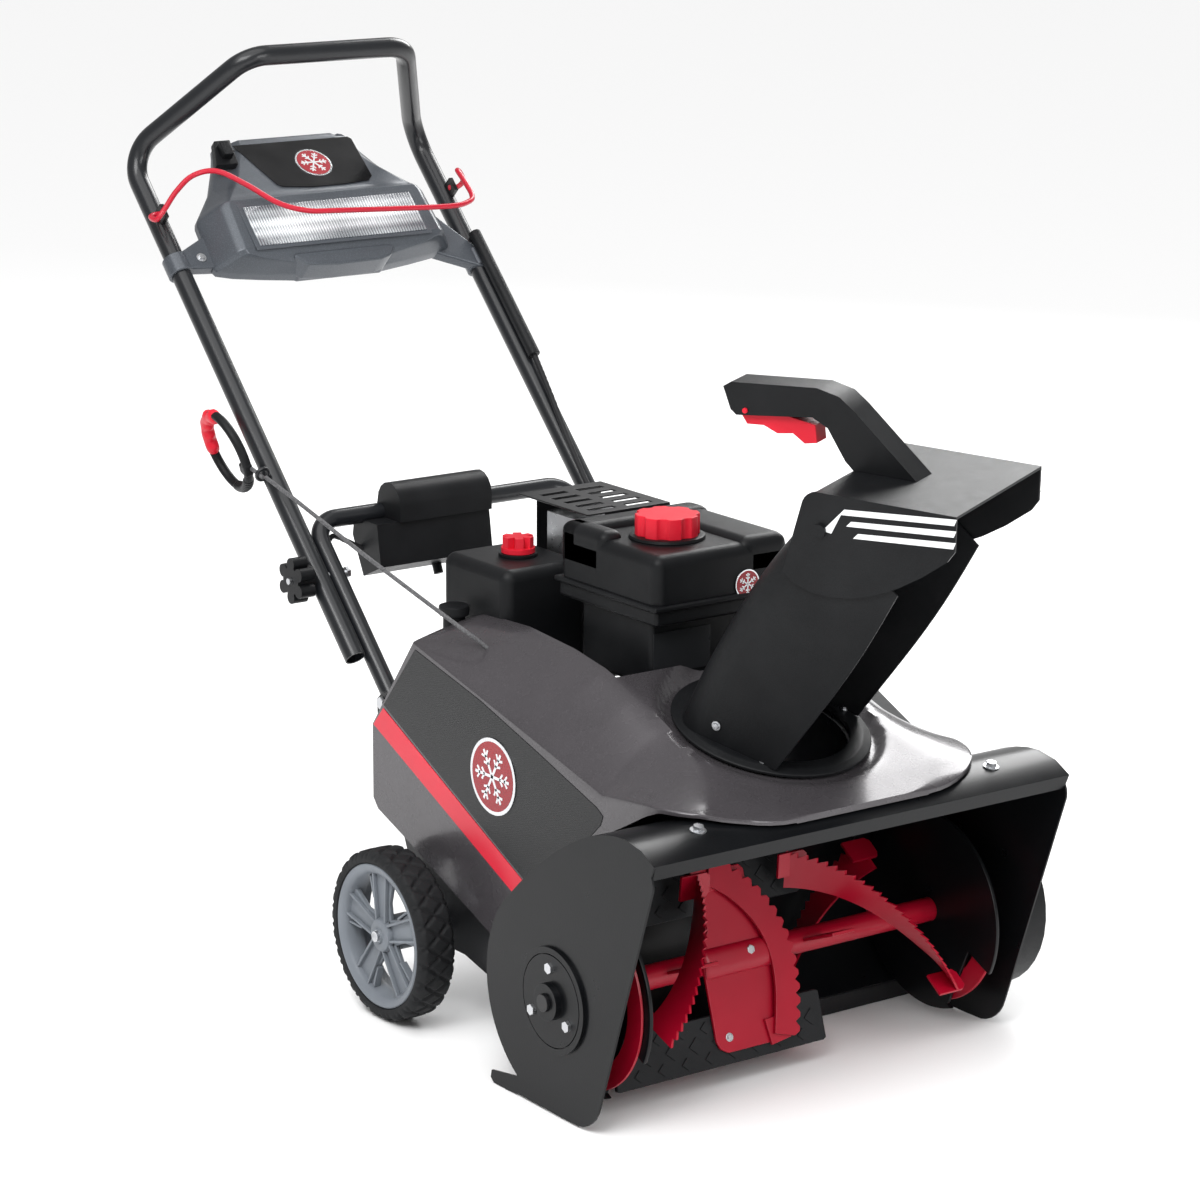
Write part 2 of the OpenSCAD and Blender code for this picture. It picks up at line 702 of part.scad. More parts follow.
// ---- recoil starter rope and grip ------------------------------------------------
rope_d = 5;
rope_hole = [-196, 248, 467];      // where the rope passes the moulded cover
guide_s = 143;
rope_x = -leg_x - 22;
rope_top = leg(rope_x, guide_s, 14);
module starter_rope() {
    color("#3d3f42") cord([rope_top + [0, -8, -2.6], [-231, 540, 563], [-222, 420, 526], [-210, 290, 487],
        [-196, 240, 466], [-160, 212, 430], [-131, 236, 398]], rope_d);
}
pull_a = 17;                       // rise of the rope's pull above the ground
grip_lean = 21;                    // lean of the grip's plane off upright
grip_r = 55;
grip_hole_r = 44;
module grip_frame() {
    translate(rope_top) rotate([pull_a, 0, 0]) rotate([0, -grip_lean, 0]) translate([-9, 70, 0])
        rotate([0, 90, 0]) children();
}
module starter_grip() {
    color(black) grip_frame() {
        difference() {
            cylinder(h = 13, r = grip_r, center = true);
            cylinder(h = 20, r = grip_hole_r, center = true);
        }
        difference() {
            translate([0, -grip_hole_r - 6, 0]) rotate([90, 0, 0]) cylinder(h = 11, r = 8);
            cylinder(h = 20, r = grip_hole_r, center = true);
        }
    }
    color(red) grip_frame() intersection() {
        translate([0, 33, 0]) rotate([0, 90, 0]) cylinder(h = 110, r = 11.5, center = true);
        cylinder(h = 30, r = grip_r + 1, center = true);
    }
}

// ---- electric starter box --------------------------------------------------------
bar_s = 76;
bar_y = leg(0, bar_s, 0)[1];
bar_z = leg(0, bar_s, 0)[2];
box_y = bar_y - 14;
box_z = bar_z + 8;
module starter_box() {
    color(black) difference() {
        union() {
            slab_x(-122, 164) polygon([[box_y - 34, 470], [box_y + 6, 452], [box_y + 30, 500], [box_y + 26, 522],
                [box_y - 26, 522]]);
            slab_x(-92, 134) polygon(concat(arc([box_y - 6, box_z + 6], 26, 0, 180, 8), [[box_y - 32, 522],
                [box_y + 26, 522]]));
        }
        rod_x(-130, 60, bar_y, bar_z, lower_d / 2 + 0.05);
        translate([-20, box_y - 8, 440]) rotate([-24, 0, 0]) cylinder(h = 40, d = 12.6);
    }
}
module starter_button() {
    color("#b9bbbd") translate([-20, box_y - 8, 440]) rotate([-24, 0, 0])
        translate([0, 0, 4]) cylinder(h = 24, d = 12);
}

// ---- handles ---------------------------------------------------------------------
leg_down = 116;
clamp_s = 502;
loop_in = 116;
loop_up = 187;

module lower_handle() {
    foot_s = -194;
    color("#2a2c30") difference() {
        bent_tube([leg(-lower_x, foot_s, 0), leg(-lower_x, bar_s, 0), leg(lower_x, bar_s, 0), leg(lower_x, foot_s, 0)],
            34, lower_d / 2, tube_t);
        rod_x(-300, 300, fold_y, fold_z, 4 + run_gap);
        rod_x(-300, 300, foot_bolt[1], foot_bolt[2], 4 + run_gap);
    }
}
module foot_bolts() {
    x0 = lower_x - lower_d / 2 - 1;
    color(steel) mirror_x() {
        hex_x(x0 - 4, 4, foot_bolt[1], foot_bolt[2], 13);
        rod_x(x0 - 1, frame_x + 4, foot_bolt[1], foot_bolt[2], 4);
        hex_x(frame_x + 3.5, 5, foot_bolt[1], foot_bolt[2], 13);
    }
}
module upper_handle() {
    color("#26282c") difference() {
        bent_tube([leg(-leg_x, -leg_down, 0), leg(-leg_x, leg_up, 0), leg(-loop_in, leg_up, loop_up),
            leg(loop_in, leg_up, loop_up), leg(leg_x, leg_up, 0), leg(leg_x, -leg_down, 0)], 44, tube_d / 2, tube_t);
        rod_x(-300, 300, fold_y, fold_z, 4 + run_gap);
    }
    // pigtail guide of the starter rope
    color(steel) translate(rope_top) rotate([0, 0, 0]) rotate([17 - 90, 0, 0]) rotate_extrude() translate([7.5, 0])
        circle(2.4);
    color(steel) rod(leg(rope_x + 6, guide_s, 9), leg(-leg_x, guide_s, 6), 2.4);
}
module fold_bolts() {
    color(steel) mirror_x() {
        rod_x(lower_x - lower_d / 2 - 7, leg_x + tube_d / 2 + 30, fold_y, fold_z, 4);
        hex_x(lower_x - lower_d / 2 - 7, 5, fold_y, fold_z, 13);
    }
}
module knob() {
    x0 = leg_x + tube_d / 2 + loose_gap;
    translate([x0, fold_y, fold_z]) rotate([0, 90, 0]) difference() {
        union() {
            cylinder(h = 26, d = 34);
            for (i = [0 : 5]) rotate([0, 0, i * 60]) translate([20, 0, 6]) cylinder(h = 20, r = 8);
        }
        translate([0, 0, -1]) cylinder(h = 40, r = 4 + run_gap);
    }
}
module knob_right() { color(black) mirror([1, 0, 0]) knob(); }
module knob_left() { color(black) knob(); }

module leg_frame() {
    place([0, fold_y, fold_z], [1, 0, 0], [0, cos(leg_lean), sin(leg_lean)]) children();
}

module dash() {
    color("#54575d") leg_frame() difference() {
        union() {
            translate([0, 0, 2]) linear_extrude(50) polygon([[-128, 560], [-104, 628], [-84, 632], [-70, 618],
                [70, 618], [84, 632], [104, 628], [128, 560], [172, 509], [180, 444], [120, 430], [64, 420],
                [-64, 420], [-120, 430], [-180, 444], [-172, 509]]);
            mirror_x() translate([150, clamp_s - 62, -9]) cube([leg_x - 150 + 8, 26, 18]);
        }
        translate([-124, 446, 40]) cube([248, 60, 20]);
        translate([0, 0, -6]) linear_extrude(40) polygon([[-124, 560], [-100, 614], [100, 614], [124, 560],
            [166, 506], [174, 450], [118, 434], [-118, 434], [-174, 450], [-166, 506]]);
        mirror_x() translate([leg_x, 0, 0]) rotate([-90, 0, 0]) cylinder(h = 700, r = tube_d / 2 + 0.02);
        translate([-120, 584, 30]) cube([22, 26, 40]);
        translate([-99, 597, 47]) rotate([0, 90, 0]) cylinder(h = 5, r = 1.5 + run_gap);
    }
}
module light_lens() {
    color([0.9, 0.93, 0.96, 0.6]) leg_frame() translate([-123.5, 446.5, 44.05]) cube([247, 59, 7]);
}
module light_switch() {
    color("#101112") leg_frame() {
        translate([-116, 587, 45]) cube([14, 20, 11]);
        translate([-103, 597, 47]) rotate([0, 90, 0]) cylinder(h = 8, r = 1.5);
    }
}

bail_s = 530;
bail_d = 6;
module bail() {
    pts = [[-leg_x + 1, bail_s, bail_d + 14], [-leg_x - 20, bail_s, bail_d + 14], [-leg_x - 12, bail_s - 14, 44],
        [-176, 560, 58], [-148, 555, 67], [-86, 494, 72], [-30, 476, 72], [166, 464, 72], [204, 482, 66],
        [208, 540, 52], [leg_x + 20, bail_s, bail_d + 14], [leg_x - 1, bail_s, bail_d + 14]];
    color(red) bent_bar([for (p = pts) leg(p[0], p[1], p[2])], 7, 4);
}
module bail_brackets() {
    color(black) leg_frame() mirror_x() difference() {
        translate([leg_x - 1, bail_s - 10, tube_d / 2 - 1]) cube([6, 20, 16]);
        translate([leg_x - 3, bail_s, bail_d + 14]) rotate([0, 90, 0]) cylinder(h = 12, r = 4 + run_gap);
        translate([leg_x, 0, 0]) rotate([-90, 0, 0]) cylinder(h = 700, r = tube_d / 2 + 0.02);
    }
}

module cable_sleeve() {
    color(black) rod(leg(leg_x + 2, 455, tube_d / 2 + 8.5), leg(leg_x + 2, 258, tube_d / 2 + 8.5), 8);
}
cable_d = 7;
cable_split = leg(leg_x - 14, 6, 24);
module upper_cable() {
    color(black) cord([leg(leg_x + 2, 257.8, 21), leg(leg_x - 2, 200, 20), leg(leg_x - 8, 120, 18),
        leg(leg_x - 12, 60, 19), leg(leg_x - 14, 9, 23.5)], cable_d);
}
module lower_cable() {
    color(black) cord([cable_split, leg(190, -20, 26), leg(176, -70, 26), leg(160, -130, 20)], cable_d);
}

// ---- chute -----------------------------------------------------------------------
chute_base = 6;
pin_y = -56;
pin_z = 298;
pin_r = 4;

function chute_outline(w, front, rear, r) = concat(
    [[-w, front]], arc([-w + r, rear - r], r, 180, 90, 6), arc([w - r, rear - r], r, 90, 0, 6), [[w, front]],
    [[w - chute_t, front]], arc([w - r, rear - r], r - chute_t, 0, 90, 6),
    arc([-w + r, rear - r], r - chute_t, 90, 180, 6), [[-w + chute_t, front]]);

module chute_wall() {
    w = chute_w / 2;
    levels = [for (s = [0, 0.34, 0.68, 1]) let (
        front = -60 - 96 * s, rear = 78 - 122 * s + 40 * s * (1 - s), ring = chute_outline(w, front, rear, 40))
        [for (p = ring) [p[0], p[1], chute_base - 0.5 + s * (316 + (p[1] + 50) * 0.53 - chute_base)]]];
    n = len(levels[0]);
    pts = [for (l = levels) each l];
    quads = [for (j = [0 : 2]) for (i = [0 : n - 1]) let (m = (i + 1) % n)
        [j * n + i, j * n + m, (j + 1) * n + m, (j + 1) * n + i]];
    half = n / 2;
    function strip(o, up) = [for (i = [0 : half - 2]) up ? [o + i, o + i + 1, o + n - 2 - i, o + n - 1 - i]
        : [o + n - 1 - i, o + n - 2 - i, o + i + 1, o + i]];
    polyhedron(pts, concat(quads, strip(0, false), strip(3 * n, true)), convexity = 6);
}

module chute() {
    color(black) chute_frame() {
        difference() {
            chute_wall();
            translate([-150, pin_y, pin_z]) rotate([0, 90, 0]) cylinder(h = 300, r = pin_r + run_gap);
        }
        difference() {
            translate([0, 0, 0.4]) cylinder(h = chute_base - 0.4, r = ring_r);
            translate([0, 0, -1]) cylinder(h = 10, r = mouth_r - 3);
            translate([-60, -120, -1]) cube([120, 60, 10]);
        }
        // keeper below the seat ring, hung from the flange outside the seat
        difference() {
            translate([0, 0, -10.6]) cylinder(h = 11.1, r = ring_r - 5);
            translate([0, 0, -8]) cylinder(h = 9, r = ring_r - 11);
            translate([0, 0, -12]) cylinder(h = 20, r = mouth_r + 3);
        }
    }
}

hood_x = chute_w / 2 + 1.2;
module deflector() {
    color(black) chute_frame() {
        mirror_x() difference() {
            slab_x(hood_x, chute_t) polygon(concat(arc([-48, 318], 20, 70, 10, 4), [[-22, 236], [-36, 228]],
                [for (q = [0 : 6]) let (t = q / 6) [-60 - 144 * t, 226 + 8 * t + 86 * t * t]],
                [[-210, 334], [-203, 372]]));
            translate([0, pin_y, pin_z]) rotate([0, 90, 0]) cylinder(h = 300, r = pin_r);
        }
        slab_x(-hood_x - 0.01, 2 * hood_x + 0.02) polygon([[-41, 336.8], [-203, 372], [-203.6, 369], [-41.6, 333.8]]);
    }
    color(steel) chute_frame() mirror_x() {
        translate([chute_w / 2 - chute_t - 2, pin_y, pin_z]) rotate([0, 90, 0]) cylinder(h = 12, r = pin_r);
        translate([hood_x + chute_t, pin_y, pin_z]) rotate([0, 90, 0]) cylinder(h = 4, r = 7);
    }
}

trig_y = 98;
trig_z = 355;
module deflector_handle() {
    color(black) chute_frame() difference() {
        slab_x(-17, 34) polygon([[116, 350], [130, 372], [122, 380], [20, 411], [-8, 411], [-28, 402], [-116, 353.2],
            [-42, 337.1], [-30, 344], [-14, 360], [-2, 372], [18, 377], [108, 346]]);
        slab_x(-11, 22) polygon([[112, 336], [112, 361], [20, 388], [2, 386], [2, 356]]);
        translate([-30, trig_y, trig_z]) rotate([0, 90, 0]) cylinder(h = 60, r = 3 + run_gap);
    }
}
module deflector_trigger() {
    color(red) chute_frame() difference() {
        union() {
            slab_x(-10.5, 21) polygon([[108, 349], [104, 360], [90, 362], [16, 367], [10, 348], [24, 342], [40, 348],
                [58, 341], [76, 344], [96, 338]]);
        }
        translate([-30, trig_y, trig_z]) rotate([0, 90, 0]) cylinder(h = 60, r = 3 + run_gap);
    }
    color(steel) chute_frame() translate([-19, trig_y, trig_z]) rotate([0, 90, 0]) cylinder(h = 38, r = 3);
}

auger_housing();
side_plate_right();
side_plate_left();
scraper_bar();
bearing_right();
bearing_left();
housing_bolts();
auger_shaft();
auger_discs();
auger_flights();
kicker_plate();
rubber_paddles();
auger_pulley();
drive_pulley();
crankshaft();
drive_belt();
idler_arm();
idler_pulley();
idler_spring();
belt_cover();
chassis();
axle();
rim_right();
tyre_right();
rim_left();
tyre_left();
shroud();
crankcase();
recoil_cover();
recoil_reel();
muffler();
muffler_guard();
fuel_tank();
fuel_cap();
carburettor_cover();
choke_knob();
primer_bulb();
oil_cap();
starter_rope();
starter_grip();
starter_box();
starter_button();
lower_handle();
upper_handle();
foot_bolts();
fold_bolts();
knob_right();
knob_left();
dash();
light_lens();
light_switch();
bail();
bail_brackets();
upper_cable();
lower_cable();
cable_sleeve();
chute();
deflector();
deflector_handle();
deflector_trigger();
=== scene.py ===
"""Looks of a single-stage snow blower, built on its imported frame. Units are metres."""

import json
import math

import bpy
from mathutils import Matrix, Vector


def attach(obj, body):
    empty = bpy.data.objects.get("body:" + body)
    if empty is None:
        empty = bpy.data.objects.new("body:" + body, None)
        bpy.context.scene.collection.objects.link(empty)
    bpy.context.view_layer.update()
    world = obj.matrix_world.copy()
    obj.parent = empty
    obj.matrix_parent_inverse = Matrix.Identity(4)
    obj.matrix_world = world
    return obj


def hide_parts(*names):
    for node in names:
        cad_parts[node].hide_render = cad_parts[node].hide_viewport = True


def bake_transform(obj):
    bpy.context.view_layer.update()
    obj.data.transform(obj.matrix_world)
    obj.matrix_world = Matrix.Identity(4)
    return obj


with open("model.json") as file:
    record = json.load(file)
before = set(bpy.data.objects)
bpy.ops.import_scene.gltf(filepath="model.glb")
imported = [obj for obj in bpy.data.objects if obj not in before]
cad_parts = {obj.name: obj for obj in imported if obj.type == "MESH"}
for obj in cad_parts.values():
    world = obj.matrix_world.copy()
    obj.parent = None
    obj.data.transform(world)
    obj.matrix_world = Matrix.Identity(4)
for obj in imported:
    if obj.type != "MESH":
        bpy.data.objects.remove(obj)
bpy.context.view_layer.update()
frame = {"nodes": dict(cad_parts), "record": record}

MM = 0.001
X, Y, Z = Vector((1, 0, 0)), Vector((0, 1, 0)), Vector((0, 0, 1))


# ---- camera, floor and light ---------------------------------------------------------
AZIMUTH, PITCH, ROLL = math.radians(35.92), math.radians(14.14), math.radians(0.3)
EYE = (-2.5178, -3.2287, 1.5526)
FLOOR_SIZE = 90


def camera():
    """The viewing angle: from the front right of the machine, a little above it."""
    data = bpy.data.cameras.new("camera")
    data.sensor_width = 36.0
    data.lens = 113.4
    data.clip_end = 120
    cam = bpy.data.objects.new("camera", data)
    bpy.context.collection.objects.link(cam)
    level = math.cos(PITCH)
    forward = Vector((math.sin(AZIMUTH) * level, math.cos(AZIMUTH) * level, -math.sin(PITCH)))
    right = Vector((math.cos(AZIMUTH), -math.sin(AZIMUTH), 0))
    up = right.cross(forward)
    right, up = (right * math.cos(ROLL) + up * math.sin(ROLL), up * math.cos(ROLL) - right * math.sin(ROLL))
    turn = Matrix((right, up, -forward)).transposed()
    cam.matrix_world = Matrix.Translation(EYE) @ turn.to_4x4()
    bpy.context.scene.camera = cam


def soft_box(name, place, target, size, power):
    data = bpy.data.lights.new(name, "AREA")
    data.shape = "RECTANGLE"
    data.size, data.size_y = size
    data.energy = power
    lamp = bpy.data.objects.new(name, data)
    bpy.context.collection.objects.link(lamp)
    lamp.location = place
    lamp.rotation_euler = (Vector(target) - Vector(place)).to_track_quat("-Z", "Y").to_euler()


def studio():
    bpy.ops.mesh.primitive_plane_add(size=FLOOR_SIZE, location=(0, 0.5, -0.0008))
    floor = bpy.context.object
    floor.name = "floor"
    look = Look("floor_paper", (0.97, 0.97, 0.97), rough=0.8)
    look.give(floor)
    world = bpy.data.worlds.new("studio_air")
    world.use_nodes = True
    back = world.node_tree.nodes["Background"]
    back.inputs["Color"].default_value = (1, 1, 1, 1)
    back.inputs["Strength"].default_value = 0.42
    bpy.context.scene.world = world
    sun = bpy.data.lights.new("ceiling", "SUN")
    sun.energy, sun.angle = 1.9, math.radians(70)
    above = bpy.data.objects.new("ceiling", sun)
    bpy.context.collection.objects.link(above)
    above.rotation_euler = (math.radians(14), math.radians(-16), 0)
    middle = (0, 0.2, 0.45)
    soft_box("key", (-2.4, -1.2, 3.2), middle, (2.2, 1.6), 85)
    soft_box("front", (0.6, -3.6, 1.6), (0, 0, 0.3), (1.6, 2.0), 46)
    soft_box("rim", (2.6, 2.0, 2.6), middle, (1.4, 2.2), 80)
    bpy.context.scene.view_settings.view_transform = "Standard"


# ---- shader maths ----------------------------------------------------------------------
class Val:
    """A number in a shader tree; Python's operators add its Math nodes."""

    def __init__(self, look, socket):
        self.look, self.socket = look, socket

    def __add__(self, other):
        return self.look.math("ADD", self, other)

    def __sub__(self, other):
        return self.look.math("SUBTRACT", self, other)

    def __rsub__(self, other):
        return self.look.math("SUBTRACT", other, self)

    def __mul__(self, other):
        return self.look.math("MULTIPLY", self, other)

    __radd__, __rmul__ = __add__, __mul__

    def wave(self):
        """0 to 1 and back once over each whole step."""
        return self.look.math("PINGPONG", self, 0.5) * 2

    def above(self, edge, soft=0.05):
        ramp = self.look.add("ShaderNodeMapRange", {"interpolation_type": "SMOOTHSTEP"},
                             [self, edge - soft, edge + soft, 0, 1])
        return Val(self.look, ramp.outputs[0])

    def size(self):
        return self.look.math("ABSOLUTE", self)


class Look:
    """One material: a Principled shader whose sockets are set by name."""

    def __init__(self, name, colour, rough=0.5, **sockets):
        self.material = bpy.data.materials.new(name)
        self.material.use_nodes = True
        self.tree = self.material.node_tree
        self.shader = self.tree.nodes["Principled BSDF"]
        self.put("Base Color", (*colour, 1))
        self.put("Roughness", rough)
        for key, value in sockets.items():
            self.put(key.replace("_", " ").title(), value)

    def put(self, socket, value):
        target = self.shader.inputs[socket]
        if isinstance(value, Val):
            self.tree.links.new(value.socket, target)
        elif isinstance(value, bpy.types.NodeSocket):
            self.tree.links.new(value, target)
        else:
            target.default_value = value

    def add(self, kind, settings=None, values=()):
        """Adds any node: its settings first, then its sockets by order or by name."""
        node = self.tree.nodes.new(kind)
        for key, value in (settings or {}).items():
            setattr(node, key, value)
        pairs = values.items() if isinstance(values, dict) else enumerate(values)
        for key, value in pairs:
            if value is None:
                continue
            if isinstance(value, Val):
                self.tree.links.new(value.socket, node.inputs[key])
            elif isinstance(value, bpy.types.NodeSocket):
                self.tree.links.new(value, node.inputs[key])
            else:
                node.inputs[key].default_value = value
        return node

    def math(self, operation, a, b=None):
        return Val(self, self.add("ShaderNodeMath", {"operation": operation}, [a, b]).outputs[0])

    def place(self, turn=(0, 0, 0), scale=(1, 1, 1), move=(0, 0, 0)):
        """Object coordinates, turned and scaled, as a vector socket."""
        coords = self.add("ShaderNodeTexCoord").outputs["Object"]
        mapping = self.add("ShaderNodeMapping", None, {"Vector": coords, "Rotation": turn, "Scale": scale,
                                                       "Location": move})
        return mapping.outputs[0]

    def axes(self, **kind):
        split = self.add("ShaderNodeSeparateXYZ", None, [self.place(**kind)])
        return [Val(self, split.outputs[i]) for i in range(3)]

    def noise(self, scale, detail=2.0, vector=None):
        node = self.add("ShaderNodeTexNoise", None,
                        {"Vector": vector or self.place(), "Scale": scale, "Detail": detail})
        return Val(self, node.outputs["Fac"])

    def cells(self, scale):
        node = self.add("ShaderNodeTexVoronoi", None, {"Vector": self.place(), "Scale": scale})
        return Val(self, node.outputs["Distance"])

    def mix(self, factor, dark, light):
        node = self.add("ShaderNodeMix", {"data_type": "RGBA"})
        for index, value in ((0, factor), (6, dark), (7, light)):
            if isinstance(value, Val):
                self.tree.links.new(value.socket, node.inputs[index])
            elif isinstance(value, bpy.types.NodeSocket):
                self.tree.links.new(value, node.inputs[index])
            else:
                node.inputs[index].default_value = (*value, 1) if isinstance(value, tuple) else value
        return node.outputs[2]

    def bump(self, height, depth, strength=1.0):
        node = self.add("ShaderNodeBump", None, {"Height": height, "Distance": depth, "Strength": strength})
        self.put("Normal", node.outputs["Normal"])

    def give(self, *pieces):
        for piece in pieces:
            piece.data.materials.clear()
            piece.data.materials.append(self.material)


# ---- finishes ----------------------------------------------------------------------------
def painted(name, colour, rough=0.34, metal=0.0, coat=0.12, peel=0.00008, flake=0.0, shine=0.35):
    """Sprayed paint: slight orange peel, faint colour drift and, with flake, metallic flakes painted as
    much lighter dots in the base colour, a painted glint standing in for their sparkle.
    """
    look = Look(name, colour, rough, metallic=metal, coat_weight=coat, coat_roughness=0.12)
    drift = look.noise(7, 3).above(0.5, 0.35)
    darker, lighter = (tuple(c * k for c in colour) for k in (0.86, 1.12))
    look.put("Specular IOR Level", shine)
    shade = look.mix(drift, darker, lighter)
    if flake:
        # painted glint: the flakes are real, but their sparkle is painted as dots 2.6 times lighter in the
        # base colour
        spark = look.cells(900).above(0.62, 0.2) * flake
        shade = look.mix(spark, shade, tuple(min(1, c * 2.6) for c in colour))
    look.put("Base Color", shade)
    look.put("Roughness", look.noise(36, 4) * 0.12 + (rough - 0.06))
    look.bump(look.noise(420, 2), peel)
    return look


def moulded(name, colour, rough=0.48, grain=1500, depth=0.00012, scuff=0.1):
    """Moulded plastic with an etched grain."""
    look = Look(name, colour, rough)
    look.put("Specular IOR Level", 0.17)
    patch = look.noise(11, 3)
    light = tuple(min(1, c * 1.35 + 0.004) for c in colour)
    look.put("Base Color", look.mix(patch.above(0.55, 0.3), colour, light))
    look.put("Roughness", look.noise(60, 4) * scuff + (rough - scuff / 2))
    look.bump(look.cells(grain) + look.noise(grain * 0.7, 2) * 0.6, depth)
    return look


def metal(name, colour, rough=0.28, brushed=(1, 1, 1)):
    look = Look(name, colour, rough, metallic=1.0)
    streak = look.noise(160, 5, look.place(scale=brushed))
    look.put("Roughness", streak * 0.25 + (rough - 0.1))
    look.put("Base Color", look.mix(look.noise(24, 3), tuple(c * 0.8 for c in colour), colour))
    look.bump(streak, 0.00004)
    return look


def woven(name, colour, turn=(0, 0, 0), cell=0.0052):
    """Printed carbon-fibre weave: two strand directions in a twill."""
    look = Look(name, colour, 0.32, coat_weight=0.1)
    look.put("Specular IOR Level", 0.2)
    _, y, z = look.axes(turn=turn, scale=(1 / cell,) * 3)
    twill = (y + z).wave().above(0.5, 0.12)
    across = (y * 2).wave() * (1 - twill) + (z * 2).wave() * twill
    look.put("Base Color", look.mix(across * 0.75 + twill * 0.25, tuple(c * 0.35 for c in colour),
                                    tuple(c * 2.2 + 0.006 for c in colour)))
    look.bump(across, 0.00012)
    return look


def rope_look(name, colour):
    """Braided rope: strands cross in the direction of its length."""
    look = Look(name, colour, 0.75)
    strand = look.noise(900, 3, look.place(scale=(1, 0.4, 0.4)))
    look.put("Base Color", look.mix(strand.above(0.5, 0.12), tuple(c * 0.5 for c in colour), colour))
    look.bump(strand, 0.0004)
    return look


def clear_look(name):
    look = Look(name, (0.86, 0.89, 0.92), 0.08, coat_weight=0.6, transmission_weight=0.25)
    x, _, _ = look.axes()
    ribs = (x * 260).wave()
    # painted shading: rib troughs darker and crests lighter in the base colour, standing in for light bent
    # through the ribs
    look.put("Base Color", look.mix(ribs.above(0.25, 0.2), (0.46, 0.5, 0.55), (0.93, 0.95, 0.97)))
    look.bump(ribs, 0.0006)
    return look


AUGER_RED = (0.33, 0.0018, 0.016)
FINISHES = {
    "housing_paint": painted("housing_paint", (0.0042, 0.0046, 0.0054), 0.3, coat=0.06, peel=0.00006,
                             shine=0.17),
    "shroud_plastic": painted("shroud_plastic", (0.06, 0.055, 0.06), 0.27, metal=0.3, coat=0.4, flake=0.2),
    "black_plastic": moulded("black_plastic", (0.005, 0.0054, 0.0062), 0.4),
    "dash_plastic": painted("dash_plastic", (0.07, 0.078, 0.09), 0.34, metal=0.3, coat=0.2, flake=0.2),
    "red_plastic": moulded("red_plastic", (0.58, 0.012, 0.028), 0.36, depth=0.00005),
    "red_paint": painted("red_paint", (0.5, 0.01, 0.03), 0.3),
    "auger_paint": painted("auger_paint", AUGER_RED, 0.34, coat=0.12, peel=0.00003, shine=0.3),
    "tube_paint": painted("tube_paint", (0.01, 0.011, 0.013), 0.3, coat=0.2),
    "zinc": metal("zinc", (0.62, 0.63, 0.65)),
    "cast_alloy": metal("cast_alloy", (0.3, 0.31, 0.32), 0.5),
    "chassis_paint": painted("chassis_paint", (0.006, 0.006, 0.007), 0.4, shine=0.25),
    "wheel_plastic": moulded("wheel_plastic", (0.15, 0.165, 0.185), 0.36, depth=0.00006),
    "tyre_rubber": moulded("tyre_rubber", (0.011, 0.0115, 0.0125), 0.66, grain=700, depth=0.0002),
    "paddle_rubber": moulded("paddle_rubber", (0.008, 0.0085, 0.0095), 0.5, grain=900),
    "cord_rubber": moulded("cord_rubber", (0.012, 0.012, 0.013), 0.42, grain=800, depth=0.00005),
    "rope_fibre": rope_look("rope_fibre", (0.12, 0.12, 0.125)),
    "lens_plastic": clear_look("lens_plastic"),
}
NODE_SLOT = {part["node"]: part["material_slot"] for part in frame["record"]["subparts"]}
NODE_BODY = {node: body for body, nodes in frame["record"]["behaviour"]["bodies"].items() for node in nodes}


# ---- modelling helpers ---------------------------------------------------------------------
def only(piece):
    """Selects one piece and nothing else."""
    bpy.ops.object.select_all(action="DESELECT")
    bpy.context.view_layer.objects.active = piece
    piece.select_set(True)


def modify(piece, kind, **settings):
    """Adds a modifier and applies it at once."""
    only(piece)
    modifier = piece.modifiers.new(kind.lower(), kind)
    for key, value in settings.items():
        setattr(modifier, key, value)
    bpy.ops.object.modifier_apply(modifier=modifier.name)


def smooth(piece, angle=34):
    only(piece)
    bpy.ops.object.shade_smooth_by_angle(angle=math.radians(angle))
    modify(piece, "WEIGHTED_NORMAL", keep_sharp=True)


def settle(piece):
    """Puts the piece's place, turn and scale into its mesh."""
    only(piece)
    bpy.ops.object.transform_apply(location=True, rotation=True, scale=True)


def finish_piece(piece, node=None, body=None, slot=None, look=None, across=None):
    """Rides, replaces and paints a finished piece; a piece laid across two bodies is only baked in place
    and rides neither.
    """
    if across:
        body_a, body_b, start, end = across
        start * MM
        end * MM
        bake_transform(piece)
    if node:
        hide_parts(*([node] if isinstance(node, str) else node))
        node = node if isinstance(node, str) else node[0]
    slot = slot or NODE_SLOT[node]
    if not across:
        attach(piece, body or NODE_BODY[node])
    (look or FINISHES[slot]).give(piece)
    return piece


def soften(node, width=0.0009, segments=2, angle=32, look=None):
    """A copy of a CAD node with its sharp edges rounded over."""
    source = frame["nodes"][node]
    piece = source.copy()
    piece.data = source.data.copy()
    piece.name = node + "_skin"
    piece.parent = None
    bpy.context.collection.objects.link(piece)
    only(piece)
    bpy.ops.object.mode_set(mode="EDIT")
    bpy.ops.mesh.select_all(action="SELECT")
    bpy.ops.mesh.remove_doubles(threshold=1e-5)
    bpy.ops.mesh.dissolve_limited(angle_limit=math.radians(0.6))
    bpy.ops.object.mode_set(mode="OBJECT")
    modify(piece, "BEVEL", width=width, segments=segments, limit_method="ANGLE",
           angle_limit=math.radians(angle), use_clamp_overlap=True, harden_normals=False)
    smooth(piece, angle)
    return finish_piece(piece, node, look=look)


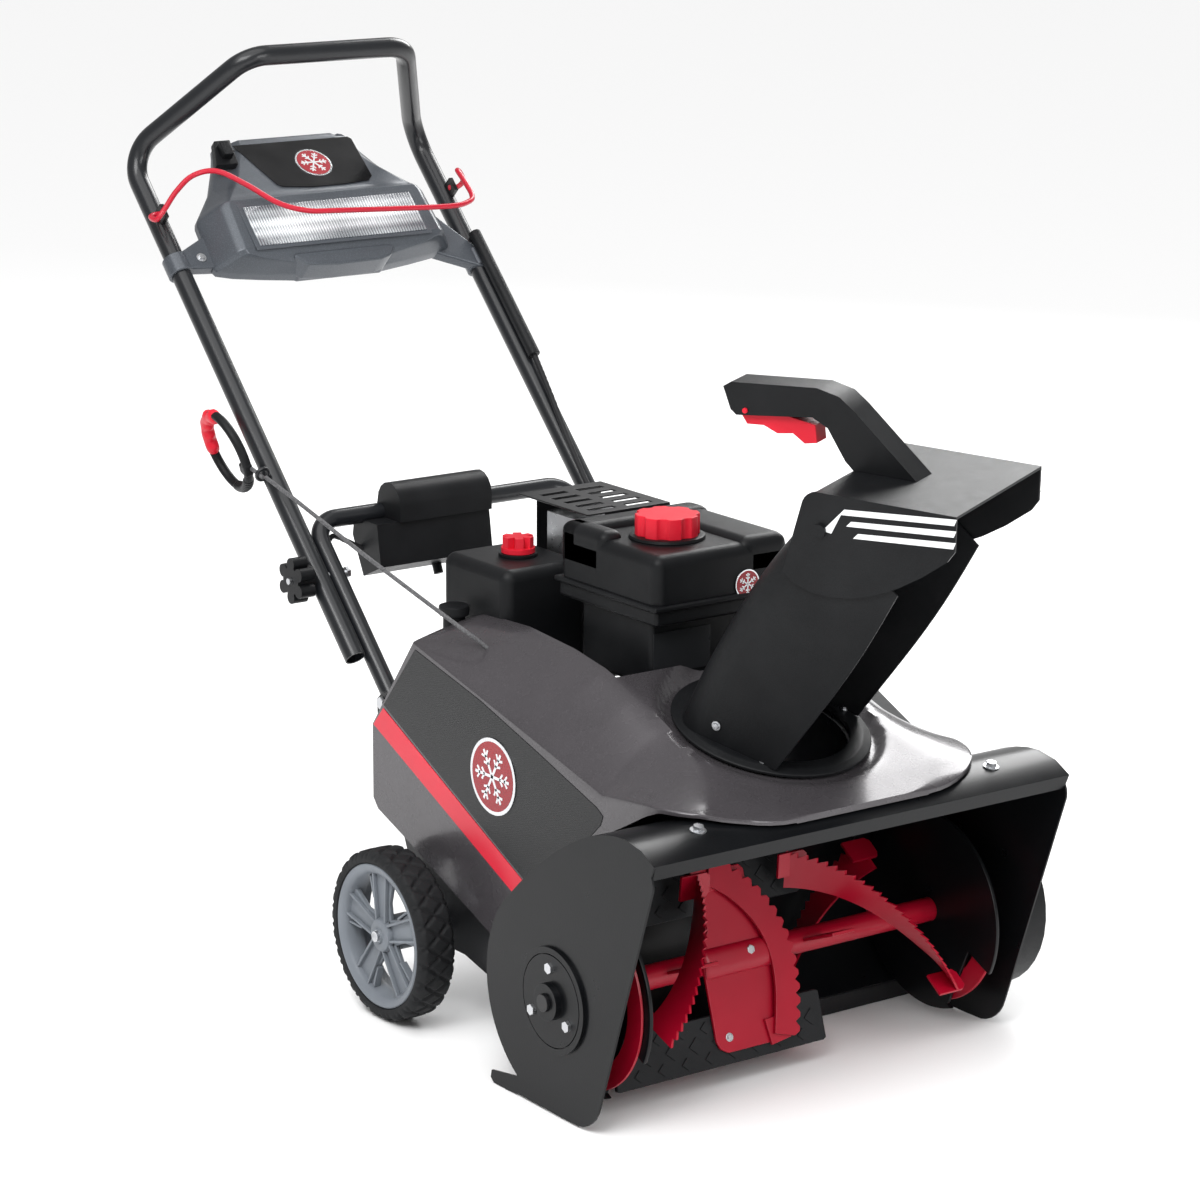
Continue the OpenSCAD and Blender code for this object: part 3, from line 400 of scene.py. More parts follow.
# ---- pieces ------------------------------------------------------------------------------------
SOFTENED = {
    "auger_housing": 0.8, "side_plate_right": 1.1, "side_plate_left": 1.1, "scraper_bar": 1.2,
    "bearing_right": 1.4, "bearing_left": 1.4, "housing_bolts": 0.5, "auger_discs": 1.2,
    "belt_cover": 2.5, "chassis": 1.0,
    "crankcase": 2.0, "recoil_cover": 3.0, "muffler": 1.5, "muffler_guard": 0.8,
    "fuel_cap": 3.0, "carburettor_cover": 2.0, "choke_knob": 2.0, "primer_bulb": 2.5, "oil_cap": 2.0,
    "starter_box": 3.5, "starter_button": 0.8, "fold_bolts": 0.5, "foot_bolts": 0.5, "knob_right": 2.5,
    "knob_left": 2.5, "light_switch": 1.2, "bail_brackets": 0.8, "deflector": 1.0,
    "deflector_handle": 5.0, "deflector_trigger": 2.6, "cable_sleeve": 1.2,
}
LEAN = math.radians(45.7)
FOLD = Vector((0, 526, 473))
ALONG = Vector((0, math.cos(LEAN), math.sin(LEAN)))
OUT = Vector((0, -math.sin(LEAN), math.cos(LEAN)))
RING = Vector((0, -77, 394))
TILT, TURN = math.radians(15.4), math.radians(22)
CHUTE = Matrix.Translation(RING) @ Matrix.Rotation(TILT, 4, "X") @ Matrix.Rotation(TURN, 4, "Z")
LEG_X = 214
LEGS = Matrix.Translation(FOLD) @ Matrix((X, ALONG, OUT)).transposed().to_4x4()
MIRROR = Matrix.Diagonal((-1, 1, 1, 1))
ROPE_END = (-236, 143, 14)


def moved(name, points, frame_of):
    """Names the new primitive and moves its corners to points in millimetres in a frame of its own."""
    piece = bpy.context.object
    piece.name = name
    for corner, point in zip(piece.data.vertices, points):
        corner.co = frame_of @ Vector(point) * MM
    return piece


def outward(piece):
    only(piece)
    bpy.ops.object.mode_set(mode="EDIT")
    bpy.ops.mesh.select_all(action="SELECT")
    bpy.ops.mesh.remove_doubles(threshold=1e-6)
    bpy.ops.mesh.normals_make_consistent(inside=False)
    bpy.ops.object.mode_set(mode="OBJECT")


def leg_point(x, s, d):
    """The place x across, s along the legs from the fold and d out of their plane."""
    return FOLD + X * x + ALONG * s + OUT * d


def plate(name, outline, frame_of, depth, bevel=0.6, segments=2):
    """A flat outline in the frame's X-Y plane, raised by depth and rounded over."""
    bpy.ops.object.select_all(action="DESELECT")
    bpy.ops.mesh.primitive_circle_add(vertices=len(outline), radius=1, fill_type="NGON")
    piece = moved(name, [(x, y, 0) for x, y in outline], frame_of)
    bpy.ops.object.mode_set(mode="EDIT")
    bpy.ops.mesh.select_all(action="SELECT")
    lift = frame_of.to_3x3() @ Vector((0, 0, depth * MM))
    bpy.ops.mesh.extrude_region_move(TRANSFORM_OT_translate={"value": lift})
    bpy.ops.object.mode_set(mode="OBJECT")
    outward(piece)
    if bevel:
        modify(piece, "BEVEL", width=bevel * MM, segments=segments, limit_method="ANGLE",
               angle_limit=math.radians(35))
    smooth(piece, 40)
    return piece


def turns(count):
    """The angles once round, with the first one again at the end."""
    return [2 * math.pi * k / count for k in range(count + 1)]


def grid(name, rows, frame_of=Matrix(), closed=False):
    """A skin over rows of points, all of one length."""
    rows = [list(row) + [row[0]] * closed for row in rows]
    bpy.ops.object.select_all(action="DESELECT")
    bpy.ops.mesh.primitive_grid_add(x_subdivisions=len(rows[0]) - 1, y_subdivisions=len(rows) - 1,
                                    size=1)
    return moved(name, [point for row in rows for point in row], frame_of)


def join(name, pieces):
    bpy.ops.object.select_all(action="DESELECT")
    for piece in pieces:
        piece.select_set(True)
    bpy.context.view_layer.objects.active = pieces[0]
    bpy.ops.object.join()
    pieces[0].name = name
    return pieces[0]


def blend_line(stops, at):
    """The value at a place on a line of (place, value) stops."""
    if at <= stops[0][0]:
        return stops[0][1]
    for (a, va), (b, vb) in zip(stops, stops[1:]):
        if at <= b:
            return va + (vb - va) * (at - a) / (b - a)
    return stops[-1][1]


def step(low, high, at):
    t = min(1, max(0, (at - low) / (high - low)))
    return t * t * (3 - 2 * t)


# the shroud's lines along the machine, as (y, height)
NOSE_Y, TAIL_Y = -240, 402
DECK = [(NOSE_Y, 347), (-200, 361), (-140, 381), (-77, 402), (0, 430), (60, 449), (120, 459), (210, 466),
        (300, 462), (330, 452), (TAIL_Y, 325)]
EDGE = [(NOSE_Y, 345), (-225, 352), (-200, 357), (-140, 359), (-90, 353), (-60, 349), (314, 439),
        (TAIL_Y, 322)]
HEM = [(NOSE_Y, 341), (-226, 347), (-200, 352.5), (-158, 352.5), (-140, 345), (-83, 314), (14, 232),
       (53, 158), (62, 130), (78, 99), (336, 198), (392, 218), (TAIL_Y, 230)]
SIDE_X, NOSE_X, NOSE_BACK = 218, 92, -130


def half_width(y):
    """Straight sides that close in on a quarter ellipse at the front."""
    if y > NOSE_BACK:
        return SIDE_X
    along = (NOSE_BACK - y) / (NOSE_BACK - NOSE_Y)
    return NOSE_X + (SIDE_X - NOSE_X) * math.sqrt(max(0, 1 - along ** 2))


def deck_height(x, y):
    width = half_width(y)
    level = min(130, width * 0.66)
    fall = max(0, (abs(x) - level) / (width - level))
    outer = blend_line(DECK, y) - (blend_line(DECK, y) - blend_line(EDGE, y)) * (fall ** 1.25)
    ring_plane = RING.z + (y - RING.y) * math.tan(TILT) - 3
    away = math.hypot(x, (y - RING.y) / math.cos(TILT))
    inside = 1 - step(119, 129, away)
    return outer + (min(ring_plane, outer) - outer) * inside


def shroud():
    """The moulded cover: a crowned deck with a round recess, falling to straight sides."""
    stations = [NOSE_Y, -239, -236, -232, -227, -221, -214, -206, *range(-198, 43, 6), *range(42, 60, 6)]
    stations += [56, 61, 66, 72, 78, *range(84, 300, 8)]
    stations += [300, 308, 314, 318, 326, 336, 350, 366, 384, 392, TAIL_Y]
    stations = sorted(set(stations))
    rows = []
    for y in stations:
        width = half_width(y)
        level = min(126, width * 0.66)
        across = [level * k / 14 for k in range(15)]
        across += [level + (width - level) * (1 - (1 - k / 9) ** 1.3) for k in range(1, 10)]
        row = [(x, y, deck_height(x, y)) for x in across]
        top, bottom = row[-1][2], blend_line(HEM, y)
        row[-1] = (width - 1.2, y, top)
        row += [(width, y, top - 1.8)]
        row += [(width, y, top - 1.8 + (bottom - top + 1.8) * k / 8) for k in range(1, 9)]
        rows.append(row)
    lip = [(x, NOSE_Y, 340) for x, _, _ in rows[0]]
    piece = grid("shroud_cover", [lip] + rows)
    only(piece)
    bpy.ops.object.mode_set(mode="EDIT")
    bpy.ops.mesh.select_mode(type="FACE")
    bpy.ops.mesh.select_all(action="DESELECT")
    bpy.ops.object.mode_set(mode="OBJECT")
    for face in piece.data.polygons:
        x, y, z = face.center / MM
        away = math.hypot(x, (y - RING.y) / math.cos(TILT))
        over_engine = x < 126 and 42 < y < TAIL_Y and z > deck_height(x, y) - 6 and z > 350
        face.select = away < 104 or over_engine
    bpy.ops.object.mode_set(mode="EDIT")
    bpy.ops.mesh.delete(type="FACE")
    bpy.ops.object.mode_set(mode="OBJECT")
    modify(piece, "MIRROR", use_axis=(True, False, False), use_clip=True, merge_threshold=0.0002)
    outward(piece)
    modify(piece, "SOLIDIFY", thickness=2.6 * MM, offset=-1)
    smooth(piece, 50)
    return finish_piece(piece, "shroud")


SIDE_FRAME = Matrix(((0, 0, -1, -SIDE_X), (1, 0, 0, 0), (0, 1, 0, 0), (0, 0, 0, 1)))


def side_panels():
    """A carbon-print panel and a red stripe on each side."""
    panel = [(309, 431), (176, 401), (58, 366), (-50, 332), (-62, 325), (-58, 314), (20, 240), (40, 208),
             (88, 212), (377, 349)]
    stripe = [(86, 208), (378, 345), (399, 321), (399, 320), (109, 190), (62, 168), (58, 195)]
    carbon = woven("carbon_print", (0.006, 0.0063, 0.007), turn=(math.radians(18), 0, 0))
    red = painted("stripe_red", (0.62, 0.012, 0.035), 0.32)
    sheets = (("panel", panel, carbon, "black_plastic"), ("stripe", stripe, red, "red_paint"))
    for side, flip in (("right", Matrix()), ("left", MIRROR)):
        for name, outline, look, slot in sheets:
            piece = plate(f"side_{name}_{side}", outline, flip @ SIDE_FRAME, 0.7, bevel=0.25)
            finish_piece(piece, body="machine", slot=slot, look=look)


def snowflake(radius, width):
    """Bars as (from, to, width): six arms, each with two pairs of twigs."""
    bars = []
    for a in turns(6)[:-1]:
        tip = Vector((math.cos(a), math.sin(a))) * radius
        bars.append((Vector((0, 0)), tip, width))
        for at in (0.45, 0.72):
            for turn in (0.9, -0.9):
                root = tip * at
                twig = Vector((math.cos(a + turn), math.sin(a + turn))) * radius * 0.26
                bars.append((root, root + twig, width * 0.8))
    return bars


def badge(name, frame_of, radius, body, depth=1.2):
    """A round badge: a bright rim, a dark field and a raised snowflake."""
    rim_look, field_look, mark_look = badge_looks()
    circle = [(radius * math.cos(t * math.pi / 24), radius * math.sin(t * math.pi / 24)) for t in range(48)]
    rim = plate(name + "_rim", circle, frame_of, depth, 0.4)
    finish_piece(rim, body=body, slot="zinc", look=rim_look)
    raised = frame_of @ Matrix.Translation(Z * depth)
    field = plate(name + "_field", [(x * 0.9, y * 0.9) for x, y in circle], raised, 0.3, 0.1)
    finish_piece(field, body=body, slot="black_plastic", look=field_look)
    bars = []
    for start, stop, width in snowflake(radius * 0.74, radius * 0.075):
        side = (stop - start).normalized().orthogonal() * width / 2
        corners = [start - side, stop - side, stop + side, start + side]
        on_field = raised @ Matrix.Translation((0, 0, 0.3))
        bars.append(plate(name + "_bar", [tuple(c) for c in corners], on_field, 0.6, 0))
    finish_piece(join(name + "_snowflake", bars), body=body, slot="zinc", look=mark_look)


def hood_stripes():
    """Three white bars on each cheek of the deflector, with slanted ends."""
    white = painted("stripe_white", (0.86, 0.87, 0.88), 0.35)
    slope = Vector((-1, 0.305)).normalized()
    low, back = Vector((-78, 331)), Vector((0.52, -0.86))
    for side in (-1, 1):
        bars = []
        for k in range(3):
            start = low + Vector((-11, -10.4)) * k * 0.96
            end = start + slope * (132 - 8.6 * k)
            drop = Vector((0.18, -1)) * 7.6
            slant = back * 9
            outline = [start, end, end + drop, start + slant * 0.94]
            if k == 0:
                heel = start + back * 38
                outline = [start, end, end + drop, start + slant * 0.94 + Vector((-2, 0)),
                           heel + Vector((-11, 1)), heel]
            cheek = Matrix(((0, 0, side, side * 97.25), (1, 0, 0, 0), (0, 1, 0, 0), (0, 0, 0, 1)))
            frame_of = CHUTE @ cheek
            bars.append(plate("hood_bar", [tuple(p) for p in outline], frame_of, 0.4, 0.1))
        finish_piece(join("hood_stripes_" + ("right" if side < 0 else "left"), bars), body="deflector",
                     slot="lens_plastic", look=white)


def screw(name, frame_of, radius, body, height=3.2):
    """A washer-head screw, drawn up the frame's Z."""
    bpy.ops.mesh.primitive_cylinder_add(vertices=24, radius=radius * MM, depth=height * 0.35 * MM,
                                        location=(0, 0, height * 0.17 * MM))
    washer = bpy.context.object
    bpy.ops.mesh.primitive_cylinder_add(vertices=6, radius=radius * 0.66 * MM, depth=height * MM,
                                        location=(0, 0, height * 0.5 * MM))
    head = bpy.context.object
    piece = join(name, [washer, head])
    settle(piece)
    place = frame_of.copy()
    place.translation *= MM
    piece.data.transform(place)
    modify(piece, "BEVEL", width=0.4 * MM, segments=2, limit_method="ANGLE")
    smooth(piece, 40)
    return finish_piece(piece, body=body, slot="zinc")


def facing(place, normal):
    """A frame at a place whose Z runs along the normal."""
    z = Vector(normal).normalized()
    x = (Y if abs(z.y) < 0.9 else X).cross(z).normalized()
    turn = Matrix((x, z.cross(x), z)).transposed().to_4x4()
    return Matrix.Translation(place) @ turn


def chute_shell():
    """The discharge chute: a swept U of sheet that leans forward, on a turned flange."""
    rows = []
    for j in range(15):
        s = j / 14
        front = -60 - 96 * s - 10 * math.sin(math.pi * s)
        rear = 78 - 122 * s + 40 * s * (1 - s)
        corner = 40
        ring = [(-91.5, front)]
        ring += [(-91.5, front + (rear - corner - front) * k / 4) for k in range(1, 4)]
        ring += [(-91.5 + corner * (1 - math.cos(a)), rear - corner + corner * math.sin(a))
                 for a in (math.pi / 2 * k / 8 for k in range(9))]
        ring += [(x * k / 3, rear) for k in (2, 1, 0) for x in (-91.5 + corner,)]
        ring += [(-x, y) for x, y in ring[-2::-1]]
        rows.append([(x, y, 5.5 + s * (316 + (y + 50) * 0.53 - 6)) for x, y in ring])
    wall = grid("chute_wall", rows, CHUTE)
    outward(wall)
    modify(wall, "SOLIDIFY", thickness=3 * MM, offset=0)
    modify(wall, "BEVEL", width=0.9 * MM, segments=2, limit_method="ANGLE", angle_limit=math.radians(50))
    smooth(wall, 40)
    profile = [(88, 0.6), (112.6, 0.6), (113, 1.2), (113, 3.2), (111.6, 4.6), (107, 5.2), (105.5, 6.6),
               (101, 7.4), (92, 7.4), (88, 7)]
    turned = [[(r * math.cos(t), r * math.sin(t), z) for r, z in profile] for t in turns(72)]
    flange = grid("chute_flange", turned, CHUTE, closed=True)
    outward(flange)
    smooth(flange, 40)
    piece = join("chute_shell", [wall, flange])
    finish_piece(piece, "chute")
    for k, x in enumerate((-93.6, 93.6)):
        spot = facing(CHUTE @ Vector((x, 20, 27)), CHUTE.to_3x3() @ Vector((x, 0, 0)))
        screw(f"chute_screw_{k}", spot, 5.5, "chute")
    for k, a in enumerate((205, 335)):
        spot = Vector((99 * math.cos(math.radians(a)), 99 * math.sin(math.radians(a)), 7.4))
        screw(f"flange_screw_{k}", facing(CHUTE @ spot, CHUTE.to_3x3() @ Z), 4.5, "chute")


def close_ends(piece):
    """Caps the open ends of a swept form and turns its faces outward."""
    outward(piece)
    bpy.ops.object.mode_set(mode="EDIT")
    bpy.ops.mesh.select_mode(type="EDGE")
    bpy.ops.mesh.select_all(action="DESELECT")
    bpy.ops.mesh.select_non_manifold()
    bpy.ops.mesh.fill_holes(sides=0)
    bpy.ops.object.mode_set(mode="OBJECT")
    outward(piece)


def eased(points, each=8):
    """A smooth line through the points."""
    line = []
    ends = [points[0] * 2 - points[1]] + points + [points[-1] * 2 - points[-2]]
    for a, b, c, d in zip(ends, ends[1:], ends[2:], ends[3:]):
        for k in range(each):
            t = k / each
            line.append(0.5 * (2 * b + (c - a) * t + (2 * a - 5 * b + 4 * c - d) * t * t
                               + (3 * b - a - 3 * c + d) * t ** 3))
    return line + [points[-1]]


def cord(name, line, radius, around=12, ribs=0):
    """A round section carried along a line without twist."""
    rows = []
    side = None
    for k, at in enumerate(line):
        way = (line[min(k + 1, len(line) - 1)] - line[max(k - 1, 0)]).normalized()
        side = (side or way.orthogonal())
        side = (side - way * side.dot(way)).normalized()
        other = way.cross(side)
        r = radius + (ribs if k % 2 else 0)
        rows.append([at + side * r * math.cos(t) + other * r * math.sin(t) for t in
                     (2 * math.pi * j / around for j in range(around))])
    piece = grid(name, rows, closed=True)
    close_ends(piece)
    smooth(piece, 50)
    return piece


def bail():
    """The red engagement lever: one bent rod with a loop at each end."""
    near = [(-213, 530, 20), (-226, 530, 20), (-236, 524, 24), (-237, 512, 36), (-226, 520, 46),
            (-204, 540, 52), (-176, 557, 58), (-146, 555, 66), (-116, 529, 69), (-84, 496, 70),
            (-50, 479, 72), (-10, 475, 72)]
    far = [(80, 469, 72), (160, 465, 72), (190, 470, 70), (204, 482, 66), (208, 510, 60), (212, 533, 52),
           (224, 538, 40), (233, 534, 27), (226, 530, 20), (213, 530, 20)]
    line = eased([leg_point(*p) for p in near + far], 7)
    finish_piece(cord("bail_rod", line, 3.5), "bail")


def dash():
    """The lamp and switch housing between the handle's legs."""
    stations = [(420, 62, 24), (422, 66, 30), (428, 112, 38), (434, 150, 43), (440, 172, 47),
                (446, 175, 50), (512, 171, 51.5), (519, 168, 51.5), (525, 163, 48.5), (533, 156, 46.5),
                (560, 133, 42), (600, 111, 35), (618, 103, 31.5), (627, 100, 28), (631, 96, 22),
                (633, 90, 14)]
    rows = []
    for s, w, d in stations:
        half = [(-w, 3), (-w, 12), (-w + 3, 18), (-w + 20, d - 8), (-w + 25, d - 3), (-w + 31, d),
                (-w * 0.45, d)]
        loop = half + [(-x, y) for x, y in half[::-1]]
        loop += [(w * 0.5, 3), (0, 3), (-w * 0.5, 3)]
        rows.append([(x, s, y) for x, y in loop])
    body = grid("dash_shell", rows, LEGS, closed=True)
    close_ends(body)
    modify(body, "BEVEL", width=2.2 * MM, segments=3, limit_method="ANGLE", angle_limit=math.radians(24))
    smooth(body, 40)
    finish_piece(body, "dash")
    outline = [(-78, 432), (-62, 417), (-20, 413), (44, 414), (62, 419), (72, 432), (64, 436), (-72, 436)]
    chin = plate("dash_chin", outline, LEGS @ Matrix.Translation((0, 0, 12)), 33, 3, 3)
    finish_piece(chin, body="upper_handle", slot="dash_plastic")
    arms = []
    for side in (-1, 1):
        near_arm = [(160, 446), (214, 450), (214, 474), (160, 500)]
        far_arm = [(150, 436), (214, 405), (214, 440), (166, 508)]
        outline, middle = (near_arm, 462) if side < 0 else (far_arm, 424)
        arm = plate("arm", [(side * x, s) for x, s in outline], LEGS @ Matrix.Translation((0, 0, -2)), 16,
                    3, 3)
        collar = ((12.9, -13), (15.4, -13), (16.4, -12), (16.4, 12), (15.4, 13), (12.9, 13))
        turned = [[(side * LEG_X + r * math.cos(t), middle + q, r * math.sin(t)) for r, q in collar]
                  for t in turns(40)]
        clamp = grid("clamp", turned, LEGS, closed=True)
        outward(clamp)
        smooth(clamp, 40)
        arms += [arm, clamp]
    finish_piece(join("dash_arms", arms), body="upper_handle", slot="dash_plastic")
    screw("clamp_screw", LEGS @ Matrix.Translation((-186, 463, 14)), 6.5, "upper_handle", 4)
    slope = math.atan2(-15.3, 83)
    face = (LEGS @ Matrix.Translation((0, 533, 47.0)) @ Matrix.Rotation(slope, 4, "X")
            @ Matrix.Translation((0, -533, 0)))
    outline = [(-84, 617), (88, 617), (92, 612), (86, 541), (78, 534), (40, 531), (-8, 531), (-50, 536),
               (-56, 541)]
    panel = plate("emblem_panel", outline, face @ Matrix.Translation((0, 0, 0.2)), 1.0, 0.4)
    finish_piece(panel, body="upper_handle", slot="black_plastic",
                 look=painted("emblem_black", (0.004, 0.004, 0.0045), 0.16))
    badge("dash_badge", face @ Matrix.Translation((14, 573, 1.2)), 25, "upper_handle")
    frame_rim = plate("lamp_rim", [(-130, 441), (130, 441), (130, 511), (-130, 511)],
                      LEGS @ Matrix.Translation((0, 0, 50.4)), 1.6, 0.6)
    finish_piece(frame_rim, body="upper_handle", slot="dash_plastic")
    rows = [[(-124 + 2 * i, 446 + 60 * k / 8, 52.6 + (0.7 if i % 2 else 0)) for i in range(125)]
            for k in range(9)]
    lens = grid("lamp_lens", rows, LEGS)
    outward(lens)
    modify(lens, "SOLIDIFY", thickness=1.2 * MM, offset=-1)
    finish_piece(lens, "light_lens", look=lamp_look())
    pad = plate("switch_bezel", [(-128, 578), (-96, 578), (-93, 616), (-116, 616)],
                LEGS @ Matrix.Translation((0, 0, 34)), 12, 1.2)
    finish_piece(pad, body="upper_handle", slot="black_plastic")


def badge_looks():
    """A badge's rim, field and snowflake."""
    return (metal("badge_rim", (0.75, 0.76, 0.78), 0.2), painted("badge_field", (0.3, 0.008, 0.016), 0.25),
            painted("badge_mark", (0.8, 0.82, 0.84), 0.25, metal=0.3))


def lamp_look():
    """A ribbed clear lens over two reflectors; the reflectors' bright reflection is painted into the base
    colour, lightest in the middle of each half and shaded along the ribs and rows.
    """
    look = Look("lamp_painted_reflectors", (0.86, 0.89, 0.92), 0.12, coat_weight=0.7)
    x, s, _ = look.axes(turn=(-LEAN, 0, 0))
    ribs = (x * 250).wave()
    level = (s - 1.1819).size() * 34
    rows = (s * 62).wave()
    reflector_falloff = (x.size() - 0.062).size() * 9
    # painted reflection: the reflectors' brightness, falling off from each centre, with painted shading
    # along the ribs and rows
    bright = (1.15 - level * 0.55 - reflector_falloff * 0.45) * (ribs * 0.45 + 0.6) * (rows * 0.3 + 0.75)
    look.put("Base Color", look.mix(bright.above(0.62, 0.4), (0.09, 0.1, 0.115), (0.86, 0.89, 0.92)))
    look.bump(ribs, 0.0008)
    return look


LUGS, TREAD_STEPS, SPOKES = 26, 352, 5


def wheels():
    """Tyres with a diamond tread on ribbed rims with five spokes."""
    for side, name in ((-1, "right"), (1, "left")):
        centre = Matrix.Translation((side * 265, 289, 101.5))
        profile = [(-20, 85.5), (-23, 87), (-24, 91), (-22.6, 96.5), (-20, 99.2)]
        profile += [(q, 101.4 - 0.9 * (q / 19) ** 2) for q in range(-18, 19, 2)]
        profile += [(-q, r) for q, r in profile[4::-1]]
        rows = []
        for k in range(TREAD_STEPS + 1):
            a = k / TREAD_STEPS
            row = []
            for q, r in profile:
                v = q / 48
                groove = 0
                if r > 95:
                    lanes = [abs((a * LUGS + lean * v * 1.5) % 1 - 0.5) for lean in (1, -1)]
                    groove = 2.4 * step(0.36, 0.43, max(lanes))
                t = 2 * math.pi * a
                row.append((q, (r - groove) * math.cos(t), (r - groove) * math.sin(t)))
            rows.append(row)
        tyre = grid("tyre_tread_" + name, rows, centre)
        outward(tyre)
        smooth(tyre, 38)
        finish_piece(tyre, "tyre_" + name)
        ring = [(-20, 84.9), (-20, 80), (-17, 76.5), (-4, 76), (-4, 72), (2, 71), (16, 73), (20, 76.5),
                (21.5, 80), (22.5, 84), (21.5, 85.4), (17, 85.2), (-17, 85.2)]
        hub = [(-23, 7), (-23, 20), (-21, 21), (12, 21), (18, 18.5), (19.5, 15), (19.5, 9.5), (22, 8.5),
               (22, 6.9), (19, 6.6)]
        parts = []
        for label, loop in (("ring", ring), ("hub", hub)):
            rows = [[(side * q, r * math.cos(t), r * math.sin(t)) for q, r in loop] for t in turns(80)]
            lathe = grid("rim_" + label, rows, centre, closed=True)
            outward(lathe)
            smooth(lathe, 35)
            parts.append(lathe)
        disc = Matrix(((0, 0, side, side * 6), (side, 0, 0, 0), (0, 1, 0, 0), (0, 0, 0, 1)))
        facing_out = centre @ disc
        for k in range(SPOKES):
            a = 2 * math.pi * k / SPOKES + 0.35
            turn = facing_out @ Matrix.Rotation(a, 4, "Z")
            spoke = [(14, -16), (40, -13), (76, -24), (76, 24), (40, 13), (14, 16)]
            parts.append(plate("spoke", spoke, turn, 6, 1.6, 3))
            for q in (-9, 9):
                rib = [(16, q - 1.6), (74, q * 1.5 - 1.6), (74, q * 1.5 + 1.6), (16, q + 1.6)]
                parts.append(plate("rib", rib, turn @ Matrix.Translation((0, 0, 6)), 5, 0.8, 2))
            parts.append(plate("web", [(41, 14), (66, 20.5), (68, 24), (42, 17)], turn, 9, 0.6, 2))
        rim = join("rim_face_" + name, parts)
        finish_piece(rim, "rim_" + name)
        nut = facing_out @ Matrix.Translation((0, 0, 14))
        screw("axle_nut_" + name, nut, 8, "wheel_" + name, 5)


AUGER = Vector((0, -72, 132))
KICKER = Matrix.Translation(AUGER - X * 42) @ Matrix.Rotation(math.radians(252), 4, "X")


def band(x0, x1, a0, a1, low, high, steps, teeth):
    """A toothed steel band wound round the shaft."""
    rows = []
    for k in range(steps + 1):
        t = k / steps
        a, x = math.radians(a0 + (a1 - a0) * t), x0 + (x1 - x0) * t
        saw = (t * teeth) % 1
        r = high - 7.5 * saw
        inner = low + 5 * math.sin(math.pi * t)
        row = []
        section = ((inner, 0), (inner + 2, 0), (r - 2, 0.3), (r, 0.6), (r, 3.4), (r - 2, 3.8), (inner, 4))
        for radius, off in section:
            row.append((x + off, AUGER.y + radius * math.cos(a), AUGER.z + radius * math.sin(a)))
        rows.append(row)
    piece = grid("auger_band", rows, closed=True)
    close_ends(piece)
    smooth(piece, 30)
    return piece


def on_shaft(x, angle):
    """A frame on the auger's axis, turned round it by an angle in degrees."""
    return Matrix.Translation((x, AUGER.y, AUGER.z)) @ Matrix.Rotation(math.radians(angle), 4, "X")


